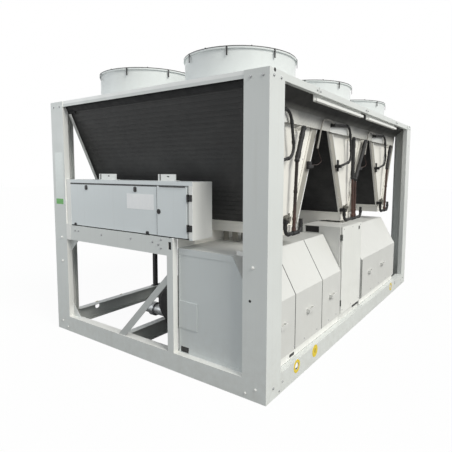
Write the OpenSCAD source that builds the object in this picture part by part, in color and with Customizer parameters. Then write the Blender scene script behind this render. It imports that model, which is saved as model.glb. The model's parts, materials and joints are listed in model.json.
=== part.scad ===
// Air cooled water chiller with three V coil bays, six roof fans and side enclosures
// Sizes are in millimetres, the origin is the bottom centre and Z points up
// The short end with the control box faces -Y and the compressor side faces +X

/* [Frame] */
// Width over the corner posts
body_width = 2253; // [2200:1:2400]
// Length over the corner posts
body_length = 3604; // [3560:1:3760]
// Height of the frame, up to the roof
frame_height = 2050; // [2000:1:2140]
// Sheet thickness of the frame profiles
frame_sheet = 5; // [4:0.5:6]
// Corner post leg along the short end
post_leg_end = 180; // [160:1:200]
// Corner post leg along the long side
post_leg_side = 185; // [165:1:205]
// Return lip along the inner edge of each post leg
post_lip = 48; // [40:1:54]
// Height of the base rails
base_rail_height = 135; // [120:1:150]
// Depth of the base rails
base_rail_depth = 70; // [62:1:80]
// Height of the top rails
top_rail_height = 47; // [40:1:55]
// Depth of the top rails
top_rail_depth = 60; // [56:1:70]
// Inner base beam, distance left of the middle
beam_left = 230; // [215:1:260]
// Inner base beam, distance in from the back of the enclosures
beam_inset = 73; // [60:1:85]
// Width of the inner base beams
beam_width = 60; // [50:1:70]
// Height of the strips under the side top rails
lintel_height = 48; // [40:1:55]

/* [Lifting and anchors] */
// Lifting hole diameter
lift_hole = 50; // [40:1:60]
// Lifting hole height
lift_height = 92; // [85:1:98]
// Front lifting hole, distance from the front face
lift_front = 420; // [390:1:450]
// Rear lifting hole, distance from the rear face
lift_rear = 698; // [660:1:730]
// Anchor hole diameter
anchor_hole = 18; // [14:1:22]
// Anchor hole, distance in from the side face
anchor_inset = 40; // [30:1:46]
// Anchor hole, distance in from the end faces
anchor_end = 302; // [280:1:330]

/* [Front bay] */
// Gap between the middle post and the compressor enclosure
mid_post_gap = 3; // [2:0.5:6]
// Width of the middle post
mid_post_width = 59; // [50:1:66]
// Top of the beam under the control box
control_beam_top = 975; // [960:1:990]
// Height of the beam under the control box
control_beam_height = 128; // [110:1:140]
// Foot of the diagonal brace, distance left of the middle post
brace_run = 558; // [520:1:590]
// Width of the brace along the base rail
brace_width = 80; // [70:1:90]
// Height at which the brace meets the middle post
brace_rise = 640; // [600:1:680]
// Thickness of the brace
brace_sheet = 6; // [5:0.5:8]

/* [Left side] */
// Top of the left middle rail
mid_rail_top = 990; // [982:1:1000]
// Height of the left middle rail
mid_rail_height = 65; // [55:1:75]
// Width of the left props
prop_width = 40; // [34:1:50]
// Side of the corner gussets
gusset_side = 110; // [90:1:130]

/* [Coils] */
// Distance of the coil ends behind the side faces
coil_setback = 181.5; // [181.5:0.5:200]
// Half width of a V at its foot
coil_foot = 150; // [140:1:160]
// Horizontal thickness of a coil
coil_depth = 88; // [80:1:94]
// Border of the coil frame
coil_border = 18; // [14:0.5:22]
// Depth of the coil face behind its frame
coil_recess = 14; // [10:1:20]
// Gap between neighbouring coils under the roof
coil_gap = 60; // [50:1:70]
// Number of tube rows that show on a coil
tube_count = 27; // [20:1:32]
// Height of a coil tray
tray_height = 65; // [55:1:75]
// Thickness of the V end panels
end_panel_sheet = 5; // [4:0.5:8]
// Depth of the V end panels behind the coil ends
end_panel_inset = 20; // [15:1:30]
// Height of the slope of the skirts between the coils and the top rails
skirt_height = 98; // [90:1:110]
// Height of the upright foot of the skirts
skirt_drop = 105; // [95:1:110]

/* [Fans] */
// Distance between a stack and the middle of the roof
stack_margin = 80; // [70:1:95]
// Distance between a stack and the side faces
stack_side = 196.5; // [190:0.5:210]
// Wall of a fan stack
stack_wall = 8; // [6:0.5:10]
// Height of a fan stack
stack_height = 235; // [215:1:255]
// Width of the stack foot flange
stack_flange = 28; // [20:1:32]
// Height of the wire guard
guard_height = 12; // [10:0.5:14]
// Number of rings in a guard
guard_rings = 9; // [6:1:12]
// Number of fan blades
blade_count = 7; // [5:1:9]
// Fan hub radius
hub_radius = 110; // [90:1:125]
// Clearance between blade tips and stack
tip_clearance = 18; // [12:1:26]

/* [Enclosures] */
// Depth of the side panels behind the post faces
panel_recess = 30; // [28:1:34]
// Thickness of the side panels
panel_thickness = 16; // [14:1:20]
// Foot of the side panels
panel_foot = 200; // [185:1:215]
// Height at which the side panels start to slope
slope_start = 597; // [570:1:620]
// Top of the compressor enclosures
enclosure_top = 903; // [890:1:912]
// Distance that the slope leans back
slope_run = 172; // [160:1:185]
// Depth of the enclosures behind their panels
enclosure_depth = 746.5; // [735:0.5:760]
// Share of a bay between the middle and the front of the cabinet
cabinet_share = 0.408; // [0.39:0.002:0.42]
// Cabinet length
cabinet_length = 520; // [500:1:530]
// Cabinet top
cabinet_top = 975; // [965:1:981]
// Cabinet depth
cabinet_depth = 358; // [340:1:380]
// Gap between the cabinet and the rear enclosure
enclosure_gap = 35; // [30:1:45]
// Rear enclosure length as a share of a bay
rear_share = 1.0375; // [1:0.0025:1.07]
// Seam between neighbouring panels
panel_seam = 4; // [3:0.5:6]
// Handle width
handle_width = 104; // [90:1:112]
// Handle height above the ground
handle_level = 415; // [380:1:440]

/* [Control box] */
// Width of the control box
control_width = 1471.5; // [1440:0.5:1500]
// Height of the control box
control_height = 403; // [390:1:420]
// Depth of the control box
control_depth = 200; // [180:1:220]
// Width of the control box door
control_door_width = 290; // [270:1:310]
// Width of the strip beside the hinges
hinge_strip = 51; // [46:1:60]
// Height of the band above the cover
control_band = 28; // [22:1:34]
// Thickness of the covers and doors
door_thickness = 12; // [10:1:14]
// Running clearance around the doors
door_clearance = 5; // [5:0.5:7]
// Hinge pin radius
hinge_pin = 4; // [3.5:0.5:5]
// Hinge knuckle radius
hinge_knuckle = 7; // [6.5:0.5:8]

/* [Evaporator] */
// Evaporator radius
vessel_radius = 190; // [180:1:200]
// Evaporator axis, distance from the middle
vessel_place = 50; // [30:1:70]
// Evaporator axis height
vessel_level = 360; // [350:1:375]
// Front end of the evaporator shell, distance from the front face
vessel_front = 450; // [430:1:480]
// Rear end of the evaporator shell, distance from the rear face
vessel_rear = 504; // [480:1:530]
// Water pipe radius
water_radius = 44.45; // [40:0.05:46]
// Water pipe end, distance left of the middle
water_reach = 330; // [300:1:360]

/* [Pipework] */
// Radius of the black gas loops
loop_radius = 11; // [9:0.5:12.5]
// Radius of the sleeves on the upper half of the risers
sleeve_radius = 18; // [17:0.5:20]
// Radius of the bare lower half of the risers
riser_radius = 12.5; // [11:0.5:13]
// Radius of the headers at the foot of the risers
header_radius = 13.5; // [12:0.5:15]
// Bend radius of the loops
pipe_bend = 90; // [75:1:100]
// Bend radius at the foot of the risers
foot_bend = 45; // [40:1:48]
// Distance of the pipes from the coil ends
pipe_stand = 42; // [36:1:48]

/* [Hidden] */
$fn = 48;
half_width = body_width / 2;
half_length = body_length / 2;
roof_under = frame_height - top_rail_height;
post_inner_x = half_width - post_leg_end;
post_inner_y = half_length - post_leg_side;
bay_pitch = (body_length - 4) / 3;
bays = [-bay_pitch, 0, bay_pitch];
sides = [-1, 1];
prop_pitch = bay_pitch / 2;
cross_pitch = 0.75 * bay_pitch;
anchor_pitch = half_length - anchor_end;

tray_foot = mid_rail_top;
tray_top = tray_foot + tray_height;
coil_height = roof_under - tray_top;
coil_reach = half_width - coil_setback;
coil_head = (bay_pitch - coil_gap) / 2;
coil_slope = (coil_head - coil_foot) / coil_height;

control_beam_foot = control_beam_top - control_beam_height;
control_left = -post_inner_x;
control_right = control_left + control_width;
door_right = control_right - hinge_strip;
cover_right = door_right - control_door_width;
control_top = control_beam_top + control_height;
control_face = -half_length + door_clearance + door_thickness + hinge_knuckle;
control_margin = 10;

panel_face = half_width - panel_recess;
panel_back = panel_face - panel_thickness;
enclosure_start = -half_length + post_lip;
enclosure_back = panel_face - enclosure_depth;
mid_post_place = enclosure_back - mid_post_gap - mid_post_width;
beam_right = enclosure_back + beam_inset;
cabinet_start = -cabinet_share * bay_pitch;
rear_enclosure_start = cabinet_start + cabinet_length + enclosure_gap;
rear_enclosure_length = rear_share * bay_pitch;
slope_top = panel_face - slope_run;
slope_rise = enclosure_top - slope_start;
slope_length = sqrt(slope_run * slope_run + slope_rise * slope_rise);
housing_break = slope_start + panel_thickness * (slope_rise - slope_length) / slope_run;
housing_edge = slope_top - panel_thickness * slope_length / slope_rise;

cabinet_face = panel_face - door_thickness - door_clearance;
cabinet_back = cabinet_face - cabinet_depth;
cabinet_end = cabinet_start + cabinet_length;

fan_offset = (half_width - stack_side + stack_margin) / 2;
stack_radius = fan_offset - stack_margin;
stack_rim = 10;
stack_inner = stack_radius - stack_wall;
throat_radius = stack_inner - 12;
stack_top = frame_height + stack_height;
blade_radius = stack_inner - tip_clearance;
motor_foot = frame_height + 45;
motor_height = 70;
motor_radius = 85;
hub_height = 95;
hub_foot = motor_foot + motor_height;

// Channel profile, its web on the line y = 0 and open towards +Y
module channel(length, depth, height) {
    difference() {
        cube([length, depth, height]);
        translate([-1, frame_sheet, frame_sheet])
            cube([length + 2, depth, height - 2 * frame_sheet]);
    }
}

// Copies a front piece to the rear end as well
module both_ends() {
    children();
    mirror([0, 1, 0])
        children();
}

// Copies a right piece to the left side as well
module both_sides() {
    children();
    mirror([1, 0, 0])
        children();
}

// Turns a drawing of Y and Z into a solid that runs along X
module along_x(start, end) {
    translate([start, 0, 0])
        rotate([90, 0, 90])
            linear_extrude(end - start)
                children();
}

// Turns a drawing of X and Z into a solid that runs along Y
module along_y(start, end) {
    translate([0, end, 0])
        rotate([90, 0, 0])
            linear_extrude(end - start)
                children();
}

// One corner post at the front left
module corner_post() {
    translate([-half_width, -half_length, 0]) {
        linear_extrude(frame_height) {
            square([post_leg_end, frame_sheet]);
            square([frame_sheet, post_leg_side]);
        }
        linear_extrude(roof_under) {
            translate([post_leg_end - frame_sheet, 0])
                square([frame_sheet, post_lip]);
            translate([0, post_leg_side - frame_sheet])
                square([post_lip, frame_sheet]);
        }
    }
}

module corner_posts() {
    color("#c9cfce")
        both_ends()
            both_sides()
                corner_post();
}

module base_end_rails() {
    color("#c9cfce")
        both_ends()
            translate([-post_inner_x, -half_length, 0])
                channel(2 * post_inner_x, base_rail_depth, base_rail_height);
}

// Right base rail with its lifting and anchor holes
module base_side_rail() {
    difference() {
        translate([half_width, -post_inner_y, 0])
            rotate([0, 0, 90])
                channel(2 * post_inner_y, base_rail_depth, base_rail_height);
        for (place = [-half_length + lift_front, half_length - lift_rear])
            translate([half_width - 2 * frame_sheet, place, lift_height])
                rotate([0, 90, 0])
                    cylinder(d = lift_hole, h = 4 * frame_sheet);
        for (end = sides)
            translate([half_width - anchor_inset, end * anchor_pitch, -frame_sheet])
                cylinder(d = anchor_hole, h = 3 * frame_sheet);
    }
}

module base_side_rails() {
    color("#c9cfce")
        both_sides()
            base_side_rail();
}

module base_inner_beams() {
    color("#c9cfce")
        for (place = [-beam_left - beam_width / 2, beam_right])
            translate([place, half_length - base_rail_depth, 0])
                rotate([0, 0, -90])
                    channel(2 * (half_length - base_rail_depth), beam_width, base_rail_height);
}

module base_cross_beams() {
    color("#c9cfce") {
        for (end = sides)
            translate([-half_width + base_rail_depth, end * prop_pitch - beam_width / 2, 0])
                channel(half_width - base_rail_depth - beam_left - beam_width / 2, beam_width, base_rail_height);
        for (end = sides)
            translate([-beam_left + beam_width / 2, end * cross_pitch - beam_width / 2, 0])
                channel(beam_left - beam_width / 2 + beam_right, beam_width, base_rail_height);
    }
}

module top_end_rails() {
    color("#c9cfce")
        both_ends()
            translate([-half_width + frame_sheet, -half_length + frame_sheet, roof_under])
                channel(body_width - 2 * frame_sheet, top_rail_depth - frame_sheet, top_rail_height);
}

module top_side_rails() {
    color("#c9cfce")
        both_sides()
            translate([half_width - frame_sheet, -half_length + top_rail_depth, roof_under])
                rotate([0, 0, 90])
                    channel(body_length - 2 * top_rail_depth, top_rail_depth - frame_sheet, top_rail_height);
}

skirt_flat = 8;
skirt_edge = half_width - top_rail_depth + 2 * frame_sheet + skirt_flat;

// Gutters under the side top rails, their outer lips short of the rails
module side_lintels() {
    lintel_start = 80;
    lintel_lip = 20;
    lintel_face = half_width - 2 * frame_sheet;
    lintel_web = skirt_edge + 0.5;
    lintel_foot = roof_under - lintel_height;
    color("#e8e9e4")
        both_sides()
            both_ends()
                along_y(lintel_start, bay_pitch - lintel_start)
                    polygon([
                        [lintel_web, lintel_foot],
                        [lintel_face, lintel_foot],
                        [lintel_face, lintel_foot + lintel_lip],
                        [lintel_face - frame_sheet, lintel_foot + lintel_lip],
                        [lintel_face - frame_sheet, lintel_foot + frame_sheet],
                        [lintel_web + frame_sheet, lintel_foot + frame_sheet],
                        [lintel_web + frame_sheet, roof_under],
                        [lintel_web, roof_under],
                    ]);
}

module mid_posts() {
    slot_height = 55;
    slot_level = control_beam_top - slot_height;
    slot_width = 30;
    color("#c9cfce")
        both_ends()
            difference() {
                translate([mid_post_place, -half_length, base_rail_height])
                    cube([mid_post_width, post_lip, control_beam_top - base_rail_height]);
                translate([mid_post_place + frame_sheet, -half_length + frame_sheet, 0])
                    cube([mid_post_width - 2 * frame_sheet, post_lip, frame_height]);
                translate([mid_post_place + mid_post_width / 2 - slot_width / 2, -half_length - 1,
                        slot_level - slot_height / 2])
                    cube([slot_width, 4 * frame_sheet, slot_height]);
            }
}

module mid_beams() {
    color("#c9cfce")
        both_ends()
            translate([control_left, -half_length, control_beam_foot])
                channel(mid_post_place - control_left, post_lip, control_beam_height);
}

module diagonal_braces() {
    brace_tall = 70;
    color("#c9cfce")
        both_ends()
            along_y(-half_length + frame_sheet, -half_length + frame_sheet + brace_sheet)
                polygon([
                    [mid_post_place - brace_run, base_rail_height],
                    [mid_post_place - brace_run + brace_width, base_rail_height],
                    [mid_post_place, brace_rise],
                    [mid_post_place, brace_rise + brace_tall],
                ]);
}

module left_mid_rail() {
    color("#c9cfce")
        translate([-half_width, post_inner_y, mid_rail_top - mid_rail_height])
            rotate([0, 0, -90])
                channel(2 * post_inner_y, base_rail_depth, mid_rail_height);
}

module left_props() {
    foot_width = 90;
    foot_sheet = 8;
    color("#3a3c3d")
        for (end = sides) {
            translate([-half_width + frame_sheet, end * prop_pitch - prop_width / 2, base_rail_height])
                cube([prop_width, prop_width, mid_rail_top - mid_rail_height - base_rail_height]);
            translate([-half_width + frame_sheet, end * prop_pitch - foot_width / 2, base_rail_height])
                cube([prop_width + foot_sheet, foot_width, foot_sheet]);
        }
}

// Plates in the left corners, one on the base rail and one under the beam
module corner_gussets() {
    color("#c9cfce")
        both_ends()
            along_y(-half_length + post_lip - frame_sheet, -half_length + post_lip) {
                polygon([
                    [-post_inner_x, base_rail_height],
                    [-post_inner_x + gusset_side, base_rail_height],
                    [-post_inner_x, base_rail_height + gusset_side],
                ]);
                polygon([
                    [-post_inner_x, control_beam_foot],
                    [-post_inner_x + gusset_side, control_beam_foot],
                    [-post_inner_x, control_beam_foot - gusset_side],
                ]);
            }
}

// Box shaped trays under the coils, open at their left ends
module coil_trays() {
    tray_left = -half_width + 2 * frame_sheet;
    color("#d8dbd6")
        for (bay = bays)
            difference() {
                translate([tray_left, bay - coil_foot, tray_foot])
                    cube([coil_reach - tray_left, 2 * coil_foot, tray_height]);
                translate([tray_left - 1, bay - coil_foot + frame_sheet, tray_foot + frame_sheet])
                    cube([coil_reach - tray_left - frame_sheet + 1, 2 * (coil_foot - frame_sheet),
                        tray_height - 2 * frame_sheet]);
            }
}

// Upright plates that carry the trays on the enclosures and on the cabinet
module tray_feet() {
    foot_length = 45;
    foot_sheet = 8;
    foot_half = 60;
    inner_places = [enclosure_back + foot_length, enclosure_back + 3 * foot_length];
    outer_places = [cabinet_back + foot_length, housing_edge - foot_length];
    color("#4a4d4e") {
        for (place = inner_places)
            for (end = sides)
                for (offset = [-foot_half, foot_half])
                    translate([place, end * bay_pitch + offset - foot_sheet / 2, enclosure_top])
                        cube([foot_length, foot_sheet, tray_foot - enclosure_top]);
        for (place = outer_places)
            translate([place, -foot_half, cabinet_top])
                cube([foot_length, foot_half + cabinet_end - frame_sheet, tray_foot - cabinet_top]);
    }
}

// Upright sheets that close the gaps under the front tray and under the middle tray
module tray_wall() {
    wall_start = control_face + control_depth + door_clearance;
    wall_end = cabinet_start - door_clearance;
    wall_height = tray_foot - enclosure_top;
    color("#d8dbd6") {
        translate([enclosure_back, wall_start, enclosure_top])
            cube([frame_sheet, wall_end - wall_start, wall_height]);
        translate([enclosure_back, -coil_foot, enclosure_top])
            cube([cabinet_back - door_clearance - enclosure_back, frame_sheet, wall_height]);
    }
}

// Folded sheets between the coil ends and the side top rails, notched for the gas loops
module plenum_skirts() {
    skirt_in = coil_reach + 2 * frame_sheet;
    skirt_out = skirt_edge - skirt_flat;
    skirt_knee = roof_under - skirt_height;
    skirt_foot = skirt_knee - skirt_drop;
    knee_drop = 3;
    notch_gap = 4;
    notch = loop_radius + stub_wall + notch_gap;
    color("#77776f")
        difference() {
            both_sides()
                along_y(-post_inner_y, post_inner_y)
                    polygon([
                        [skirt_in, skirt_foot],
                        [skirt_in + frame_sheet, skirt_foot],
                        [skirt_in + frame_sheet, skirt_knee - knee_drop],
                        [skirt_out + skirt_flat, roof_under],
                        [skirt_out, roof_under],
                        [skirt_in, skirt_knee],
                    ]);
            for (bay = bays)
                translate([skirt_in - frame_sheet, bay - coil_middle(loop_high), loop_high]) {
                    rotate([0, 90, 0])
                        cylinder(r = notch, h = 3 * frame_sheet);
                    translate([0, -notch, -skirt_drop])
                        cube([3 * frame_sheet, 2 * notch, skirt_drop]);
                }
        }
}

// Distance of the outer coil face from the middle of its V, at a height
function coil_line(level) = coil_foot + coil_slope * (level - tray_top);

// Coil outline across the machine, inset from its faces, between two heights
module coil_outline(inset, low, high) {
    polygon([
        [coil_line(low) - inset, low],
        [coil_line(high) - inset, high],
        [coil_line(high) - coil_depth + inset, high],
        [coil_line(low) - coil_depth + inset, low],
    ]);
}

// One coil frame, leaning towards +Y, with its window open
module coil_frame() {
    difference() {
        along_x(-coil_reach, coil_reach)
            coil_outline(0, tray_top, roof_under);
        along_x(-coil_reach + coil_border, coil_reach - coil_border)
            coil_outline(-1, tray_top + coil_border, roof_under - coil_border);
    }
}

module coil_frames(bay) {
    color("#dcdcd2")
        translate([0, bay, 0])
            both_ends()
                coil_frame();
}

// Coil core with its rows of tubes standing out on both faces
module coil_core_outline() {
    low = tray_top + coil_border;
    high = roof_under - coil_border;
    pitch = (high - low) / tube_count;
    tube_tall = 0.62 * pitch;
    tube_proud = 3;
    outer = [for (row = [0 : tube_count - 1]) for (step = [0 : 3])
        let (level = low + row * pitch + (step < 2 ? 0 : tube_tall))
        [coil_line(level) - coil_recess + (step == 1 || step == 2 ? tube_proud : 0), level]];
    inner = [for (row = [tube_count - 1 : -1 : 0]) for (step = [0 : 3])
        let (level = low + row * pitch + (step < 2 ? tube_tall : 0))
        [coil_line(level) - coil_depth + coil_recess - (step == 1 || step == 2 ? tube_proud : 0), level]];
    polygon(concat(outer,
        [[coil_line(high) - coil_recess, high], [coil_line(high) - coil_depth + coil_recess, high]], inner));
}

module coil_cores(bay) {
    color("#2b2c2d")
        translate([0, bay, 0])
            both_ends()
                along_x(-coil_reach + coil_border, coil_reach - coil_border)
                    coil_core_outline();
}

// Trapezoid that closes one end of a V
module end_panel() {
    along_x(coil_reach - end_panel_inset - end_panel_sheet, coil_reach - end_panel_inset)
        polygon([
            [-coil_foot + coil_depth, tray_top],
            [coil_foot - coil_depth, tray_top],
            [coil_head - coil_depth, roof_under],
            [-coil_head + coil_depth, roof_under],
        ]);
}

module end_panels_right() {
    color("#e6e5dc")
        for (bay = bays)
            translate([0, bay, 0])
                end_panel();
}

module end_panels_left() {
    color("#e6e5dc")
        for (bay = bays)
            translate([0, bay, 0])
                mirror([1, 0, 0])
                    end_panel();
}

deck_half = half_width - top_rail_depth;
deck_seam = 1;
deck_end = half_length - top_rail_depth;
deck_split = bay_pitch / 2;
deck_spans = [[-deck_end, -deck_split - deck_seam], [-deck_split + deck_seam, deck_split - deck_seam],
    [deck_split + deck_seam, deck_end]];

// One roof panel over a bay, a tray turned upside down with two fan openings
module fan_deck(bay, span) {
    difference() {
        translate([-deck_half, span[0], roof_under])
            cube([2 * deck_half, span[1] - span[0], top_rail_height]);
        translate([-deck_half + frame_sheet, span[0] + frame_sheet, roof_under - 1])
            cube([2 * (deck_half - frame_sheet), span[1] - span[0] - 2 * frame_sheet,
                top_rail_height - frame_sheet + 1]);
        for (side = sides)
            translate([side * fan_offset, bay, roof_under])
                cylinder(r = throat_radius, h = 2 * top_rail_height);
    }
}

module fan_decks() {
    color("#d5d9d7")
        for (i = [0 : 2])
            fan_deck(bays[i], deck_spans[i]);
}

// Strips inside the roof panels that rest on the coils
module deck_ledges() {
    ledge = 57;
    ledge_half = deck_half - frame_sheet;
    color("#c9cfce")
        for (span = deck_spans)
            for (start = [span[0] + frame_sheet, span[1] - frame_sheet - ledge])
                translate([-ledge_half, start, roof_under])
                    cube([2 * ledge_half, ledge, frame_sheet]);
}

// Places its children on the axis of each fan
module at_each_fan() {
    for (bay = bays)
        for (side = sides)
            translate([side * fan_offset, bay, 0])
                children();
}

module fan_stack() {
    flange_sheet = 6;
    translate([0, 0, frame_height])
        rotate_extrude()
            translate([stack_inner, 0]) {
                square([stack_wall, stack_height]);
                square([stack_wall + stack_flange, flange_sheet]);
                translate([0, stack_height - stack_rim])
                    square([stack_wall + stack_rim, stack_rim]);
            }
}

module fan_stacks() {
    color("#dfe2e0")
        at_each_fan()
            fan_stack();
}

module fan_motors() {
    arm_width = 34;
    arm_height = 22;
    arm_gap = 0.2;
    color("#2f3132")
        at_each_fan() {
            translate([0, 0, motor_foot])
                cylinder(r = motor_radius, h = motor_height);
            for (turn = [0 : 90 : 270])
                rotate([0, 0, turn + 45])
                    translate([0, -arm_width / 2, motor_foot])
                        intersection() {
                            cube([stack_inner, arm_width, arm_height]);
                            translate([0, arm_width / 2, -1])
                                cylinder(r = stack_inner - arm_gap, h = 2 * arm_height);
                        }
        }
}

// One swept fan blade, a curved sheet set at an angle, pointing along +X
module fan_blade() {
    blade_pitch = 26;
    blade_sheet = 5;
    curve = 260;
    blade_tall = 120;
    root_chord = 60;
    tip_chord = 92;
    sweep = 40;
    root = hub_radius - 8;
    waist = (hub_radius + blade_radius) / 2;
    intersection() {
        rotate([blade_pitch, 0, 0])
            translate([0, 0, -curve])
                rotate([0, 90, 0])
                    difference() {
                        cylinder(r = curve, h = blade_radius + 1);
                        translate([0, 0, -1])
                            cylinder(r = curve - blade_sheet, h = blade_radius + 3);
                    }
        translate([0, 0, -blade_tall / 2])
            linear_extrude(blade_tall)
                polygon([
                    [root, -root_chord],
                    [waist, -root_chord - sweep / 2],
                    [blade_radius + 1, -tip_chord + sweep],
                    [blade_radius + 1, tip_chord + sweep],
                    [waist, tip_chord],
                    [root, root_chord],
                ]);
        translate([0, 0, -blade_tall / 2])
            cylinder(r = blade_radius, h = blade_tall);
    }
}

module fan_rotors() {
    cone_height = 20;
    cone_radius = 0.7 * hub_radius;
    color("#3b3d3f")
        at_each_fan()
            translate([0, 0, hub_foot]) {
                cylinder(r = hub_radius, h = hub_height - cone_height);
                translate([0, 0, hub_height - cone_height])
                    cylinder(r1 = hub_radius, r2 = cone_radius, h = cone_height);
                for (turn = [0 : 360 / blade_count : 359])
                    rotate([0, 0, turn])
                        translate([0, 0, hub_height / 2])
                            fan_blade();
            }
}

// Wire guard with eight hooks that hang over the stack rim
module fan_guards() {
    wire = 6;
    guard_reach = stack_radius + stack_rim;
    hook_width = 10;
    hook_drop = 58;
    hook_sheet = 3.5;
    hook_gap = 0.5;
    color("#2c2e2f")
        at_each_fan()
            translate([0, 0, stack_top]) {
                for (ring = [1 : guard_rings])
                    rotate_extrude()
                        translate([guard_reach * ring / guard_rings - wire, 0])
                            square([wire, wire]);
                for (turn = [0 : 45 : 135])
                    rotate([0, 0, turn])
                        translate([-guard_reach + wire, -wire / 2, 0])
                            cube([2 * (guard_reach - wire), wire, guard_height]);
                for (turn = [22.5 : 45 : 359])
                    rotate([0, 0, turn]) {
                        translate([guard_reach - wire / 2, -hook_width / 2, 1])
                            cube([wire / 2 + hook_gap + hook_sheet, hook_width, wire - 2]);
                        translate([guard_reach + hook_gap, -hook_width / 2, -hook_drop])
                            cube([hook_sheet, hook_width, hook_drop + wire - 1]);
                    }
            }
}

// Outline of an enclosure behind its side panels
module housing_outline(back, foot) {
    polygon([
        [back, foot],
        [panel_back, foot],
        [panel_back, housing_break],
        [housing_edge, enclosure_top],
        [back, enclosure_top],
    ]);
}

// Outline of a side panel that follows the face and the slope
module panel_outline() {
    polygon([
        [panel_back, panel_foot],
        [panel_face, panel_foot],
        [panel_face, slope_start],
        [slope_top, enclosure_top],
        [housing_edge, enclosure_top],
        [panel_back, housing_break],
    ]);
}

corner_run = 115;
corner_drop = 205;

// Front enclosure, cut back behind the corner post with a slanted corner
module front_enclosure() {
    color("#cdd1cc")
        difference() {
            along_y(enclosure_start + frame_sheet, cabinet_start - door_clearance)
                housing_outline(enclosure_back, base_rail_height);
            translate([post_inner_x, -half_length - 1, 0])
                cube([post_leg_end, post_leg_side + 1, frame_height]);
            along_y(-half_length, -post_inner_y)
                polygon([
                    [post_inner_x - corner_run, enclosure_top],
                    [post_inner_x, enclosure_top - corner_drop],
                    [post_inner_x + 1, enclosure_top - corner_drop],
                    [post_inner_x + 1, enclosure_top + 1],
                    [post_inner_x - corner_run, enclosure_top + 1],
                ]);
        }
}

// Places where the front side panels start and end
front_panel_start = -post_inner_y + 1;
front_panel_end = cabinet_start - door_clearance;
front_panel_span = front_panel_end - front_panel_start;
front_seams = [front_panel_start, front_panel_start + 0.231 * front_panel_span,
    front_panel_start + 0.648 * front_panel_span, front_panel_end];

module front_panels() {
    color("#e3e5df")
        for (panel = [0 : 2])
            along_y(front_seams[panel], front_seams[panel + 1] - panel_seam)
                panel_outline();
}

// Plate with a folded rim that closes the front enclosure, with a hatch and a drain hole
module front_end_panel() {
    rim = 22;
    rim_depth = 3;
    rim_top = 45;
    panel_left = enclosure_back;
    panel_right = post_inner_x;
    inner_run = (corner_drop - rim_top + rim / 2) * corner_run / corner_drop;
    hatch_inset = 8;
    hatch_proud = 3;
    hatch_width = 172;
    hatch_height = 199;
    hatch_level = 321;
    drain_width = 76;
    drain_height = 42;
    drain_level = base_rail_height + 4;
    color("#c4cac9") {
        difference() {
            along_y(enclosure_start, enclosure_start + frame_sheet)
                polygon([
                    [panel_left, base_rail_height],
                    [panel_right, base_rail_height],
                    [panel_right, enclosure_top - corner_drop],
                    [panel_right - corner_run, enclosure_top],
                    [panel_left, enclosure_top],
                ]);
            along_y(enclosure_start - 1, enclosure_start + rim_depth)
                polygon([
                    [panel_left + rim, base_rail_height + rim],
                    [panel_right - rim, base_rail_height + rim],
                    [panel_right - rim, enclosure_top - corner_drop - rim / 2],
                    [panel_right - rim - inner_run, enclosure_top - rim_top],
                    [panel_left + rim, enclosure_top - rim_top],
                ]);
            translate([panel_left + rim, enclosure_start - 1, drain_level])
                cube([drain_width, 2 * frame_sheet, drain_height]);
        }
        translate([panel_left + hatch_inset, enclosure_start - hatch_proud, hatch_level])
            cube([hatch_width, frame_sheet + hatch_proud - 1, hatch_height]);
    }
}

module rear_enclosure() {
    color("#cdd1cc")
        along_y(rear_enclosure_start, rear_enclosure_start + rear_enclosure_length)
            housing_outline(enclosure_back, base_rail_height);
}

module rear_panels() {
    color("#e3e5df")
        along_y(rear_enclosure_start, rear_enclosure_start + rear_enclosure_length)
            panel_outline();
}

// One bar handle on a side panel
module panel_handle() {
    handle_post = 16;
    handle_stand = panel_recess - 2;
    handle_tall = 26;
    handle_bar = 6;
    difference() {
        translate([panel_face, -handle_width / 2, handle_level])
            cube([handle_stand, handle_width, handle_tall]);
        translate([panel_face - 1, -handle_width / 2 + handle_post, handle_level - 1])
            cube([handle_stand - handle_bar + 1, handle_width - 2 * handle_post, handle_tall + 2]);
    }
}

module panel_handles() {
    post_clear = 6;
    front_places = [front_panel_start + handle_width / 2 + post_clear,
        (front_seams[1] + front_seams[2]) / 2, (front_seams[2] + front_seams[3]) / 2];
    rear_shares = [0.226, 0.588];
    color("#d9dbd6") {
        for (place = front_places)
            translate([0, place, 0])
                panel_handle();
        for (share = rear_shares)
            translate([0, rear_enclosure_start + share * rear_enclosure_length, 0])
                panel_handle();
    }
}

module cabinet() {
    pocket_depth = 220;
    pocket_border = 30;
    vent_place = 24;
    vent_width = 136;
    vent_depth = 12;
    vent_border = 7;
    color("#cdd1cc")
        difference() {
            translate([cabinet_back, cabinet_start, base_rail_height])
                cube([cabinet_face - cabinet_back, cabinet_length, cabinet_top - base_rail_height]);
            translate([cabinet_face - pocket_depth, cabinet_start + pocket_border, panel_foot + pocket_border])
                cube([pocket_depth + 1, cabinet_length - 2 * pocket_border,
                    cabinet_top - panel_foot - 2 * pocket_border]);
            translate([cabinet_back + vent_place, cabinet_start - 1, enclosure_top + vent_border])
                cube([vent_width, vent_depth + 1, cabinet_top - enclosure_top - 2 * vent_border]);
        }
}

hinge_inset = 6.5;
hinge_leaf = 4;
hinge_side_gap = 2;
cabinet_axis_x = panel_face;
cabinet_axis_y = cabinet_start + hinge_inset;
cabinet_levels = [panel_foot + 100, cabinet_top - 90];
hinge_tall = 50;
knuckle_tall = 18;
hinge_gap = 1;
end_knuckle = (hinge_tall - knuckle_tall) / 2 - hinge_gap;
pin_clearance = 0.1;

// Hinge pin with its two fixed knuckles, standing on the origin
module hinge_fixed() {
    cylinder(r = hinge_pin, h = hinge_tall);
    cylinder(r = hinge_knuckle, h = end_knuckle);
    translate([0, 0, hinge_tall - end_knuckle])
        cylinder(r = hinge_knuckle, h = end_knuckle);
}

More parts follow.
